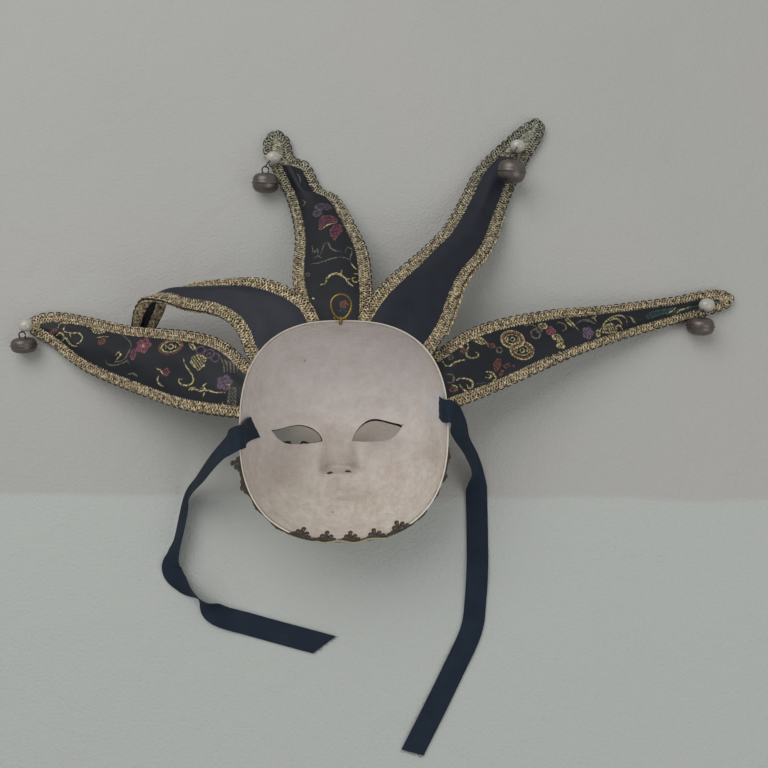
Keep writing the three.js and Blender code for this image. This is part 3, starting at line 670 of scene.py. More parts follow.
# Plain satin: blue-black, with a fine warp sheen
navy, tree, shader = new_material("blue black satin")
place = add(tree, "TexCoord").outputs["Object"]
crease = add(tree, "TexNoise", {"Vector": place, "Scale": 90, "Detail": 4, "Roughness": 0.6})
tint = add(tree, "Mix", {0: crease, 6: srgb("#11141d"), 7: srgb("#222733")}, data_type="RGBA")
threads = add(tree, "TexWave", {"Vector": place, "Scale": 420, "Distortion": 1.5})
bump = add(tree, "Bump", {"Height": threads.outputs["Fac"], "Strength": 0.12, "Distance": 0.0003})
bump = add(tree, "Bump", {"Height": crease, "Strength": 0.35, "Distance": 0.0015, "Normal": bump})
plug(tree, shader, {"Base Color": tint, "Normal": bump, "Roughness": 0.55, "Specular IOR Level": 0.35})

# Brocade: black satin woven with gold scrolls, coin-like medallions and flowers in rose, purple
# and rust silk. The motifs are kept by their kind, their silk and a number: the width of a line or
# ring in mm, the turn of a disc in degrees or the size of a flower. A line or patch has its places
# in mm on the plan of the horn, and the others have a middle and half sizes.
motifs = {
    "left": [
        ("line", "gold", 1, [[(-212.9, 86.3), (-208.5, 86.8), (-202.7, 86.4)]]),
        ("line", "gold", 1.1, [
            [(-147.9, 74.3), (-147.5, 71.1)], [(-139.1, 73.5), (-138.7, 70.5)],
            [(-145.9, 72.6), (-143.5, 74.5), (-140.6, 72.1), (-143, 70), (-145.9, 72.6)],
        ]),
        ("line", "gold", 1.2, [
            [(-193.2, 63.9), (-190.2, 66.9), (-188, 68.8), (-190.6, 71.2), (-192.7, 69.2)],
            [(-108.8, 33.3), (-111.8, 36.6), (-109.1, 38.7)], [(-110.5, 31.5), (-111.8, 28)],
            [(-95.3, 23.3), (-94.5, 18.7), (-91, 16)],
        ]),
        ("line", "gold", 1.3, [
            [(-252.2, 98.6), (-251, 101.9), (-247.6, 102.6), (-243.5, 101.8)],
            [(-252.8, 92), (-248.9, 93.6), (-245.4, 89.9), (-247.7, 87.2)],
            [(-238.4, 103.2), (-234.3, 100.3)],
            [(-124, 35.1), (-118.9, 34.8), (-114.2, 33), (-108.8, 33.3), (-101.8, 31.1),
             (-93.2, 30.4)],
        ]),
        ("line", "gold", 1.4, [
            [(-244.9, 100.5), (-246.8, 97), (-244.1, 93.8), (-239.2, 93.5)],
            [(-238.8, 89.4), (-239.9, 92), (-236, 92.9), (-230.3, 91.7), (-227.3, 87.7),
             (-229.3, 83.7), (-232.5, 82.5)],
            [(-246.9, 87.1), (-243.6, 88.8), (-240.1, 85.1), (-236.6, 81.9), (-231.6, 80.4)],
            [(-130.8, 61.8), (-128.9, 55.9), (-125.6, 51.5), (-122.5, 47.2), (-120.4, 42.8),
             (-123.4, 38.7), (-129.3, 38.9), (-132.6, 40.8), (-133.6, 44), (-130.2, 43.7)],
            [(-154.8, 54.9), (-150.9, 52.9), (-148.5, 50)],
            [(-151.9, 48.9), (-152.9, 45.5), (-150.7, 41.4), (-147, 39.5)],
        ]),
        ("line", "faded", 1.1, [[(-186, 61.5), (-182.1, 63.2), (-178.5, 60.2)]]),
        ("line", "faded", 1.3, [
            [(-189.7, 87), (-185.2, 83.4), (-180.6, 78.5), (-179.8, 74.6), (-181.1, 70.4),
             (-183.1, 66.2), (-186.9, 64), (-193.2, 63.9)],
            [(-202.9, 66.6), (-201.2, 63.1), (-194.7, 61.3), (-186.8, 62), (-181.4, 64.6)],
            [(-97.9, 58.1), (-95.6, 53.4), (-94.7, 46.5)],
            [(-95, 57.2), (-92.9, 53.2), (-91.9, 46.3)],
            [(-92.2, 56.1), (-90.1, 53.1), (-89.2, 46.2)],
            [(-89.4, 55.2), (-87.4, 52.9), (-86.5, 46.1)],
            [(-86.6, 54.2), (-84.6, 52.8), (-83.8, 45.9)],
        ]),
        ("line", "faded", 1.6, [[(-181, 52.4), (-176.2, 52.8), (-172, 50.2)]]),
        ("ring", "gold", 1.1, [[(-143.2, 72.3), (8.2, 4.9)]]),
        ("ring", "purple", 1.2, [
            [(-116.5, 67), (3.9, 3.1)], [(-108.9, 63), (4.7, 3.6)], [(-102.9, 59.4), (3.4, 3.4)],
        ]),
        ("ring", "rust", 1, [[(-143.2, 72.3), (10.3, 6.6)]]),
        ("disc", "gold", 0, [[(-168.3, 75.2), (1.6, 1.3)], [(-91.2, 35.6), (1.5, 1.3)]]),
        ("disc", "gold", 10, [[(-121.1, 35.5), (3.4, 1.3)]]),
        ("disc", "rose", 0, [[(-176.6, 68.2), (2.7, 4.8)]]),
        ("disc", "purple", 0, [[(-112.8, 34.3), (2.3, 2.1)]]),
        ("disc", "purple", 20, [[(-108.9, 63), (2.3, 1.6)]]),
        ("disc", "rust", 0, [[(-207.9, 82.5), (3.7, 3.3)]]),
        ("disc", "rust", 25, [[(-256.2, 95.5), (4.2, 2)]]),
        ("flower", "rose", 3.6, [[(-145.6, 51.1)]]),
        ("flower", "rose", 7.4, [[(-168.4, 75.5)]]),
        ("flower", "purple", 6.9, [[(-94.1, 38.4)]]),
        ("patch", "gold", 0, [
            [(-221.7, 96.6), (-213.1, 96), (-205.7, 91.4), (-211.9, 89.6), (-217.6, 91.3)],
            [(-127.7, 73.9), (-124, 73.6), (-119.9, 68.8), (-123.3, 66.9), (-125.8, 70)],
            [(-122.9, 62.5), (-117.2, 63.5), (-110.4, 60.1), (-111.4, 53.1), (-116.8, 49.5),
             (-120.6, 52.5), (-124.6, 57.1)],
        ]),
        ("patch", "faded", 0, [
            [(-90.2, 34.2), (-84.3, 33.9), (-83.6, 19.5), (-88.2, 15.8), (-91.6, 22.5)],
        ]),
    ],
    "upper_left": [
        ("line", "gold", 1, [[(-23, 178.9), (-18.8, 182.6), (-15.2, 185), (-10.3, 186.7)]]),
        ("line", "gold", 1.2, [
            [(2.6, 144.6), (4.9, 140.7), (8.3, 137.7)],
            [(5.1, 133.7), (9.3, 133.1), (9.7, 126.8), (5.8, 125.4), (4.3, 128.8), (7, 130.2)],
        ]),
        ("line", "gold", 1.5, [[(-5.2, 132.2), (-4.4, 136.7)]]),
        ("line", "gold", 1.6, [[(-1.6, 129.2), (1.7, 124), (5.2, 121.3)]]),
        ("line", "gold", 2, [
            [(-21.4, 123.6), (-17.9, 124.4), (-16.8, 128.4), (-13.5, 132.4), (-8.6, 133.7),
             (-5.1, 132), (-1.6, 129.2), (2, 128.1)],
        ]),
        ("line", "teal", 1.2, [[(-5.7, 97.5), (-3.1, 100.4), (0.1, 98.3)]]),
        ("line", "faded", 1.1, [
            [(-28.4, 150.3), (-24.8, 152.1), (-21.7, 149.7)],
            [(-41.3, 213.9), (-38.5, 210.2), (-40, 207.2)],
        ]),
        ("line", "faded", 1.2, [
            [(-30.3, 163.5), (-28.5, 156), (-25.7, 159.4), (-24.8, 153.9)],
            [(-22.8, 153.8), (-19.3, 164.1), (-17, 165.1), (-14.1, 159.2), (-10.8, 156.9),
             (-5.7, 155.6)],
            [(-31, 144.6), (-23.4, 145.2), (-19.6, 146.7), (-16.1, 147.9), (-11.4, 149.2),
             (-4.5, 149.9), (1.5, 147.7)], [(-47.3, 239.2), (-45.5, 236.3), (-44.4, 230.8)],
        ]),
        ("line", "faded", 1.3, [
            [(-2.4, 154.9), (-0.4, 160.4), (3, 158.7), (2.4, 152.1), (1.7, 146.3)],
        ]),
        ("ring", "faded", 0.9, [[(-32.8, 134.5), (1.6, 1.4)]]),
        ("disc", "gold", 0, [[(-27, 110.7), (1.3, 1.3)]]),
        ("disc", "purple", 0, [[(-22.7, 203.6), (7.2, 4)], [(-27.3, 196.8), (4, 4)]]),
        ("flower", "rust", 3.7, [[(-2.1, 104.7)]]),
        ("patch", "rose", 0, [
            [(-25.1, 189.2), (-22.9, 193.6), (-15.6, 194.3), (-10.7, 192.1), (-9.9, 187.4),
             (-16.5, 186.5), (-22.2, 178.6), (-25.4, 178.9)],
            [(-12.9, 184.3), (-6.8, 185.4), (-4.9, 178.5), (-8.9, 172.3), (-11.2, 166.4),
             (-15.3, 172.4), (-16, 178.3)],
        ]),
    ],
    "right": [
        ("line", "gold", 1, [
            [(131.7, 80.9), (131.5, 77.1)], [(140, 81.3), (139.7, 77.6)],
            [(133.7, 79.1), (135.8, 81.1), (137.7, 79.3), (135.6, 77.3), (133.7, 79.1)],
            [(139.3, 72), (139.2, 68.3)], [(147.6, 72.5), (147.5, 68.8)],
            [(141.3, 70.2), (143.5, 72.2), (145.4, 70.5), (143.3, 68.5), (141.3, 70.2)],
            [(187.6, 98.9), (190.4, 93), (193.5, 90.7)], [(241.2, 103.9), (243.5, 100.8)],
            [(207.2, 103.6), (209.6, 98.6)], [(274.8, 110.3), (280.8, 113.5), (283.1, 115.7)],
            [(282.8, 109.8), (286.6, 113.8), (292.4, 115.8), (297.6, 117.6)],
        ]),
        ("line", "gold", 1.1, [[(77, 58.6), (79.4, 54.9)]]),
        ("line", "gold", 1.2, [
            [(112.1, 46.5), (114.9, 45.9), (117, 47.7), (114.2, 48.9)],
            [(226.4, 96.1), (230.3, 97.3), (233.5, 94.8)],
            [(205.8, 101.4), (210, 103.8), (210.6, 106.1)],
        ]),
        ("line", "gold", 1.3, [
            [(78.6, 54.9), (82.9, 54.3), (87.4, 57.5), (92.8, 59.4), (96.5, 60.2)],
            [(209, 87.8), (212.9, 92.5), (216.9, 98.1), (222.2, 102.4), (227.9, 105.1),
             (233.7, 105.4), (236.5, 102.3), (237.3, 98.7)],
        ]),
        ("line", "gold", 1.5, [
            [(95, 75.9), (97.4, 74.1), (98.4, 70.9), (96.9, 66.6), (97.4, 63), (101.3, 61.6),
             (105.3, 63), (106.8, 65.5), (104.6, 66.5)],
            [(112.5, 50.9), (116.8, 50.7), (119.7, 48.9), (120.6, 46.1), (117.6, 44.2)],
            [(84.4, 38.7), (87.9, 37.4), (88.7, 34.3)], [(90.5, 39.3), (93.2, 35.7), (97.7, 33.4)],
            [(221.8, 100.2), (226.8, 102.5), (230.6, 100.8), (232.4, 98.2)],
        ]),
        ("line", "gold", 1.6, [
            [(87.9, 42.6), (91.5, 44.5), (96.8, 44), (100.6, 42.2), (100.8, 38), (97.6, 36.8),
             (96.6, 39.4)],
        ]),
        ("line", "teal", 1, [[(103, 40.3), (107.6, 41.4), (112.3, 42.2)]]),
        ("line", "faded", 1.1, [
            [(78.5, 63.9), (83.2, 68.7), (87.9, 70.9)],
            [(146.8, 91.6), (152.4, 93.2), (156.9, 91.6)],
        ]),
        ("line", "faded", 1.2, [
            [(173.5, 94), (177, 96.3), (181.5, 94.1), (182.2, 90.7), (178.3, 88.6)],
            [(238.5, 105.3), (242.2, 103.6), (245.3, 100.6)],
            [(195.5, 98.8), (201.2, 99.8), (205.9, 98.4)],
        ]),
        ("line", "faded", 1.3, [[(191.6, 95.8), (197.1, 98.8), (202.8, 98.6), (208.6, 96.8)]]),
        ("line", "faded", 1.6, [
            [(80.2, 47.1), (84.6, 47.1), (86, 44.3), (84.5, 40.9), (80.9, 40.7)],
        ]),
        ("ring", "gold", 0.9, [[(135.7, 79.3), (6.3, 4)], [(143.4, 70.4), (6.3, 4)]]),
        ("ring", "gold", 1.1, [[(135.7, 79.3), (9.7, 7.3)], [(143.4, 70.4), (9.8, 7.3)]]),
        ("ring", "rust", 1, [[(135.7, 79.3), (8.2, 5.9)], [(143.4, 70.4), (8.2, 5.9)]]),
        ("ring", "faded", 1, [[(158.6, 88.5), (2.6, 2.3)]]),
        ("ring", "faded", 1.1, [[(124.1, 69.8), (2.3, 2.3)]]),
        ("ring", "faded", 1.2, [[(155.6, 85), (3.9, 3.9)]]),
        ("disc", "gold", 0, [
            [(93, 70.9), (1.5, 0.9)], [(162.6, 92.4), (3.9, 3)], [(173.5, 83.4), (4.1, 2.6)],
            [(177, 76.4), (4.1, 1.9)], [(210.7, 89.6), (2.3, 3)],
        ]),
        ("disc", "gold", 20, [[(177, 80.1), (3.2, 2.3)]]),
        ("disc", "purple", 0, [[(135.7, 57.4), (1.4, 1)]]),
        ("disc", "rust", 0, [[(93.8, 67.7), (2.2, 2.9)], [(85.4, 35.4), (3.2, 2.6)]]),
        ("disc", "teal", 12, [[(323.6, 124.7), (7.5, 2.7)]]),
        ("flower", "rose", 4.6, [[(168.7, 88.2)]]),
        ("flower", "purple", 5.5, [[(201.3, 89)]]),
        ("flower", "faded", 2.6, [[(83.9, 61.6)]]),
        ("patch", "gold", 0, [
            [(101.9, 79.9), (107.7, 80.7), (112.2, 77.6), (114.7, 74.5), (109.2, 73.2),
             (103.1, 75.8)],
            [(182, 99.1), (185.1, 101.4), (188.5, 97.4), (190.4, 92.6), (187.1, 92.4), (184, 95.7)],
            [(216.3, 96.4), (222.6, 98.6), (228.3, 95.4), (228, 91.9), (220.6, 90.5), (213.8, 90)],
        ]),
        ("patch", "rust", 0, [
            [(114.3, 75.4), (120.2, 74.7), (121.4, 72), (117.3, 70.4), (113.8, 72.5)],
            [(121.6, 62.4), (125.7, 62.1), (125.1, 57), (121.8, 51.1), (119.2, 52.2),
             (118.3, 56.8)], [(126.3, 57), (131.8, 59.5), (132.9, 56.9), (128.8, 54.5)],
            [(122.7, 48.9), (125.1, 53.4), (127.8, 52.9), (126, 49.3), (124.1, 48.1)],
        ]),
        ("patch", "teal", 0, [
            [(253.5, 106.8), (263.3, 111.7), (276.1, 114.3), (281.2, 115.6), (278.9, 112.3),
             (268.9, 109), (256.9, 104.5)],
            [(278.6, 109.6), (282.7, 114.5), (292.4, 116), (303.4, 119.4), (303.5, 114.9),
             (288.6, 111), (280.7, 108.3)],
        ]),
    ],
}
SILKS = {"silks_a": ("gold", "rose", "purple"), "silks_b": ("rust", "teal", "faded")}


def from_segments(x, y, path, brush=0):
    """Distances of places to a line of points, in plan, less a brush that swells between its ends."""
    nearest = np.full(len(x), 1e9)
    for step, ((ax, ay), (bx, by)) in enumerate(zip(path[:-1], path[1:])):
        dx, dy = bx - ax, by - ay
        along = np.clip(((x - ax) * dx + (y - ay) * dy) / (dx * dx + dy * dy + 1e-9), 0, 1)
        swollen = brush * math.sin(math.pi * (step + 0.5) / (len(path) - 1))
        nearest = np.minimum(nearest, np.hypot(x - ax - along * dx, y - ay - along * dy) - swollen)
    return nearest


def hatched(distance, x, y):
    """Fills a motif with its outline and slanting rows of thread."""
    rows = np.abs((0.8 * x + 0.6 * y) % 1.9 - 0.95) - 0.45
    return np.maximum(distance, np.minimum(rows, np.abs(distance + 0.5) - 0.35))


def from_motif(x, y, kind, size, places):
    """Signed distances of the cloth's places to one motif, negative within it."""
    marks = np.array(places, float)
    if kind == "line":
        path = spline(np.column_stack([marks, 0 * marks[:, 0]]), np.linspace(0, 1, 6 * len(marks)))
        return from_segments(x, y, path[:, :2], 0.3 * size) - 0.2 * size
    if kind == "patch":
        outline = np.vstack([marks, marks[:1]])
        inside = np.zeros(len(x), bool)
        for (ax, ay), (bx, by) in zip(outline[:-1], outline[1:]):
            crosses = (ay > y) != (by > y)
            inside ^= crosses & (x < (bx - ax) * (y - ay) / (by - ay + 1e-9) + ax)
        return hatched(from_segments(x, y, outline) * np.where(inside, -1, 1), x, y)
    dx, dy = x - marks[0][0], y - marks[0][1]
    if kind == "flower":
        angle = np.arctan2(dy, dx)
        petals = size * (0.72 + 0.28 * np.abs(np.cos(2.5 * angle)))
        distance = np.hypot(dx, dy)
        veins = np.abs(np.sin(2.5 * angle)) * distance - 0.45
        inner_ring = np.abs(distance - 0.5 * size) - 0.2
        return np.maximum(distance - petals, 0.5 - np.maximum(veins, inner_ring))
    turn = math.radians(size if kind == "disc" else 0)
    dx, dy = dx * math.cos(turn) + dy * math.sin(turn), dy * math.cos(turn) - dx * math.sin(turn)
    rx, ry = marks[1]
    distance = (np.hypot(dx / rx, dy / ry) - 1) * min(rx, ry)
    return hatched(distance, x, y) if kind == "disc" else np.abs(distance) - 0.45 * size


def woven(piece, name):
    """Stores how far each place of a cloth is within the motifs of each silk colour."""
    x, y, _ = (corners_of(piece) * 1000 + FOOTPRINT).T
    amounts = {silk: 0 * x for silks in SILKS.values() for silk in silks}
    for kind, silk, size, motif_places in motifs[name]:
        for places in motif_places:
            near = from_motif(x, y, kind, size, places)
            amounts[silk] = np.maximum(amounts[silk], np.clip(0.5 - near / 1.6, 0, 1))
    for label, silks in SILKS.items():
        stored(piece, label, [amounts[silk] for silk in silks])


brocade, tree, shader = new_material("black satin brocade")
place = add(tree, "TexCoord").outputs["Object"]
weft = add(tree, "TexWave", {"Vector": place, "Scale": 520, "Distortion": 3, "Detail": 2})
frayed = add(tree, "TexNoise", {"Vector": place, "Scale": 1100, "Detail": 2, "Roughness": 0.6})
floats = add(tree, "TexNoise", {"Vector": place, "Scale": 620, "Detail": 1, "Distortion": 0.6})
shade = add(tree, "TexNoise", {"Vector": place, "Scale": 70, "Detail": 3})
glint = add(tree, "MapRange", {"Value": floats, 1: 0.38, 2: 0.62})
gaps = add(tree, "MapRange", {"Value": frayed, 1: 0.34, 2: 0.44, 3: 0.25, 4: 1.0})
colour = add(tree, "Mix", {0: shade, 6: srgb("#0c0d12"), 7: srgb("#191b23")}, data_type="RGBA")
for label, silks in (
    ("silks_b", (("#4a2924", "#915a4a"), ("#182f2c", "#365f56"), ("#3a382f", "#7e7865"))),
    ("silks_a", (("#5c5132", "#dccf98"), ("#4a2230", "#92505f"), ("#372c3a", "#6f5b70"))),
):
    parts = add(tree, "SeparateColor", {"Color": add(tree, "Attribute", attribute_name=label)})
    for channel, (dim, bright) in zip(("Blue", "Green", "Red"), silks[::-1]):
        ragged = add(tree, "Math", {0: parts.outputs[channel], 1: frayed}, operation="ADD")
        edge = add(tree, "MapRange", {"Value": ragged, 1: 0.92, 2: 1.1, 3: 0, 4: 0.95})
        cover = add(tree, "Math", {0: edge, 1: gaps}, operation="MULTIPLY")
        silk = add(tree, "Mix", {0: glint, 6: srgb(dim), 7: srgb(bright)}, data_type="RGBA")
        colour = add(tree, "Mix", {0: cover, 6: colour, 7: silk}, data_type="RGBA")
gold_cover = cover
bump = add(tree, "Bump", {"Height": weft.outputs["Fac"], "Strength": 0.2, "Distance": 0.0003})
bump = add(tree, "Bump", {"Height": gold_cover, "Strength": 0.6, "Distance": 0.0004, "Normal": bump})
metal = add(tree, "Math", {0: gold_cover, 1: 0.4}, operation="MULTIPLY")
plug(tree, shader, {"Base Color": colour, "Metallic": metal, "Normal": bump})
plug(tree, shader, {"Roughness": 0.5, "Specular IOR Level": 0.35})

for name, cells in (
    ("left", (400, 130)), ("left_curled", (300, 40)), ("upper_left", (330, 130)),
    ("upper_right", (330, 80)), ("right", (520, 100)),
):
    cloth = horn_cloth(name, horns[name], cells)
    if name in motifs:
        woven(cloth, name)
        handed_over(cloth, brocade, "brocade", "horn_" + name)
    else:
        handed_over(cloth, navy, "navy_satin", "horn_" + name)


# Antique gold braid is a flat plait of five crinkled metallic strands over a dark tape, tarnished
# greener towards the upper tips. It is sewn round the edge of each horn, up one side, round the
# tip and back down the other, and its rows fill the tip.
gilt, tree, shader = new_material("antique gold metallic braid")
place = add(tree, "TexCoord").outputs["Object"]
wear = add(tree, "TexNoise", {"Vector": place, "Scale": 130, "Detail": 4, "Roughness": 0.7})
crinkle = add(tree, "TexNoise", {"Vector": place, "Scale": 400, "Detail": 3, "Roughness": 0.7})
fine = add(tree, "TexNoise", {"Vector": place, "Scale": 1500, "Detail": 2})
# Painted glints and shade: the crinkle noise mixes a dark shaded gold with a bright highlight gold, on
# the greener tarnish too; the wear noise is real tarnish
spread = add(tree, "MapRange", {"Value": crinkle, 1: 0.38, 2: 0.66})
painted_shade = add(tree, "Mix", {0: wear, 6: srgb("#3c3226"), 7: srgb("#6b5c40")}, data_type="RGBA")
painted_highlight_gold = add(tree, "Mix", {0: wear, 6: srgb("#cdb199"), 7: srgb("#fff2c2")}, data_type="RGBA")
gold = add(tree, "Mix", {0: spread, 6: painted_shade, 7: painted_highlight_gold}, data_type="RGBA")
parts = add(tree, "SeparateXYZ", {"Vector": place})
upwards = add(tree, "MapRange", {"Value": parts.outputs["Y"], 1: 0.1, 2: 0.27, 3: 0, 4: 0.8})
green = add(tree, "Mix", {0: spread, 6: srgb("#3b3e36"), 7: srgb("#a9ae9f")}, data_type="RGBA")
gold = add(tree, "Mix", {0: upwards, 6: gold, 7: green}, data_type="RGBA")
bump = add(tree, "Bump", {"Height": fine, "Strength": 0.5, "Distance": 0.0004})
plug(tree, shader, {"Base Color": gold, "Metallic": 0.5, "Roughness": 0.4, "Normal": bump})
tape, tree, shader = new_material("black cotton tape")
plug(tree, shader, {"Base Color": srgb("#1b191b"), "Roughness": 0.85})


def edge_walk(horn):
    """The braid's middle line round a horn, up, round the tip and down, with its inward and face
    directions and its width."""
    begins = {}
    for edge in ("upper", "lower"):
        begins[edge] = leaving_share(
            lambda share: at(horn[edge], share) + 5 * at(horn[edge + " inward"], share)
        )
    steps = 300
    last = np.array([0.965])
    up = np.linspace(begins["upper"], last[0], steps)
    down = np.linspace(last[0], begins["lower"], steps)
    near_tip = at(horn["upper"], np.array([0.9])) + at(horn["lower"], np.array([0.9]))
    back = unit(0.5 * near_tip - horn["tip"])
    widths = np.concatenate([braid_width(horn, share) for share in (up, last, down)])
    sewn = widths[:, None] / 2 + 0.3
    line = np.vstack([
        at(horn["upper"], up) + sewn[:steps] * at(horn["upper inward"], up),
        horn["tip"] + sewn[steps] * 1.1 * back,
        at(horn["lower"], down) + sewn[steps + 1:] * at(horn["lower inward"], down),
    ])
    inward = np.vstack([at(horn["upper inward"], up), back, at(horn["lower inward"], down)])
    face = np.vstack([at(horn["face"], share) for share in (up, last, down)])
    return line, inward, face, np.tile(widths[:, None], 3), gone_along(line)


def walked(walk, step):
    """The same walk with a place every step millimetres, rounded at the tip."""
    *rows, gone = walk
    share = np.interp(np.arange(0, gone[-1], step), gone, np.linspace(0, 1, len(gone)))
    kernel = np.hanning(9) / np.hanning(9).sum()
    smooth = []
    for values in rows:
        row = at(values, share)
        padded = np.vstack([row[:1]] * 4 + [row] + [row[-1:]] * 4)
        smooth.append(np.column_stack([np.convolve(padded[:, k], kernel, "valid") for k in range(3)]))
    return smooth[0], unit(smooth[1]), unit(smooth[2]), smooth[3][:, :1]


def plait(name, walk, strands=5, period=12.5, thread=1.5):
    """A flat plait on both faces of the tape, its strands loose by a few tenths of a millimetre."""
    steps = 12
    line, inward, face, width = walked(walk, period / steps)
    lean = 0.75 * np.tanh(5 * face[:, 2:]) * [0, 0, 1]
    face = unit(face + lean)
    inward = square_to(face, inward)
    along = unit(np.gradient(line, axis=0))
    count = np.arange(len(line))
    made = []
    for front in (1, -1):
        for strand in range(strands):
            angle = 2 * np.pi * (count / steps + strand / strands + 0.25 * front)[:, None]
            crinkle = np.sin(0.31 * count + 1.3 * strand * front)
            loose = 0.45 * np.sin(0.83 * count + 2.1 * strand) * crinkle
            waver = (1 + 0.08 * np.sin(0.47 * count + strand))[:, None]
            swing = (width - thread) / 2 * waver * np.sin(angle)
            rise = front * (1.3 + 0.7 * np.sin((strands - 1) * angle))
            middle = line + swing * inward + rise * face + loose[:, None] * along
            across = np.cross(unit(np.gradient(middle, axis=0)), face)
            made.append(cord(name, middle, across, thread, 1.3, 5))
    return joined(name, made)


def tip_rows(horn):
    """Rows of braid laid across a horn's tip, from where its cloth ends."""
    rows = []
    share = horn["cloth_end"] - 0.02
    size = length(np.diff(horn["upper"], axis=0)).sum()
    while share < 0.975:
        here = np.full(9, share) + np.linspace(-1.2, 1.2, 9) / size
        in_from = 0.7 * horn["braid"]
        start = at(horn["upper"], here) + in_from * at(horn["upper inward"], here)
        end = at(horn["lower"], here) + in_from * at(horn["lower inward"], here)
        if np.sum((end[0] - start[0]) * at(horn["upper inward"], here)[0]) > 1:
            part = np.linspace(0, 1, 9)[:, None]
            rise = 1.3 + 0.4 * np.sin(np.pi * part)
            ridge = start + (end - start) * part + at(horn["face"], here) * rise
            rows.append(cord("row", ridge, at(horn["upper along"], here), 2.0, 1.6, 6))
        share += 2.2 / size
    return rows


for name, horn in horns.items():
    width = horn["braid"]
    walk = edge_walk(horn)
    braid = plait("braid_" + name, walk)
    line, inward, face, widths = walked(walk, 1.0)
    backing = cord("tape_" + name, line, inward * (widths - 1.2) / (width - 1.2), width - 1.2, 1.8, 8)
    bite = np.maximum(0, np.sin(2 * np.pi * np.arange(len(line)) / 6.6))[:, None] ** 2
    stitch = line - (widths / 2 + 0.1 - 2.6 * bite) * inward + (1.2 + 0.8 * bite) * face
    stitches = cord("stitches_" + name, stitch, inward, 0.9, 0.9, 4)
    backing = joined("tape_" + name, [backing, stitches])
    rows = tip_rows(horn)
    if rows:
        braid = joined("braid_" + name, [braid, *rows])
    if name == "upper_right":
        share = np.linspace(0.1, 0.62, 400)
        off = 1.6 * at(horn["face"], share) - 0.8 * at(horn["lower inward"], share)
        bright = at(horn["lower"], share) + off
        bright = bright[~in_shell(bright)]
        edging = twisted("edging", bright, [0.3, 0.2, 1.0], 0.8, 1.5, 7.0)
        braid = joined("braid_" + name, [braid, edging])
    handed_over(braid, gilt, "gold_braid", "braid_" + name)
    handed_over(backing, tape, "gold_braid")

# The bells are spun from thin bronzed brass in two halves crimped together at a flange, with a
# soldered wire eye; dark wire hangs each one from its pearl.
bronze, tree, shader = new_material("dark bronzed brass")
place = add(tree, "TexCoord").outputs["Object"]
wear = add(tree, "TexNoise", {"Vector": place, "Scale": 160, "Detail": 5, "Roughness": 0.65})
brown = add(tree, "Mix", {0: wear, 6: srgb("#454240"), 7: srgb("#877d75")}, data_type="RGBA")
rough = add(tree, "MapRange", {"Value": wear, 3: 0.28, 4: 0.5})
plug(tree, shader, {"Base Color": brown, "Metallic": 0.8, "Roughness": rough})

lustre, tree, shader = new_material("ivory pearl lustre")
place = add(tree, "TexCoord").outputs["Object"]
cloud = add(tree, "TexNoise", {"Vector": place, "Scale": 120, "Detail": 3})
pearly = add(tree, "Mix", {0: cloud, 6: srgb("#8f8b7e"), 7: srgb("#cfccc0")}, data_type="RGBA")
plug(tree, shader, {"Base Color": pearly, "Roughness": 0.28, "Coat Weight": 0.8})


def turned(points, tilt, turn):
    """Turns points about X and then about Z, by degrees."""
    tilt, turn = math.radians(tilt), math.radians(turn)
    x, y, z = points.T
    y, z = y * math.cos(tilt) - z * math.sin(tilt), y * math.sin(tilt) + z * math.cos(tilt)
    x, y = x * math.cos(turn) - y * math.sin(turn), x * math.sin(turn) + y * math.cos(turn)
    return np.column_stack([x, y, z])


BELL_RADIUS, BELL_DOME, FLANGE_RADIUS, FULLNESS = 11.7, 8.6, 12.6, 0.72
half = np.linspace(0, np.pi / 2, 16)[:-1]
dome = [BELL_RADIUS * np.sin(half) ** FULLNESS, BELL_DOME * np.cos(half) ** FULLNESS]
crimp = [[BELL_RADIUS, 0.7], [12.0, 0.3], [FLANGE_RADIUS, 0.25]]
BELL_PROFILE = np.vstack([np.column_stack(dome), crimp])
BELL_PROFILE = np.vstack([BELL_PROFILE, BELL_PROFILE[::-1] * [1, -1]])


def bell_body(s, t):
    """Two crimped halves: a domed profile from pole to pole with a thin flange at the middle."""
    radius, height = BELL_PROFILE[np.rint(t * (len(BELL_PROFILE) - 1)).astype(int)].T
    return np.column_stack([radius * np.sin(2 * np.pi * s), height, radius * np.cos(2 * np.pi * s)])


blackened, tree, shader = new_material("blackened iron wire")
plug(tree, shader, {"Base Color": srgb("#3a3430"), "Metallic": 0.7, "Roughness": 0.45})
TILT = 20
WIRE_EYE = 3.0
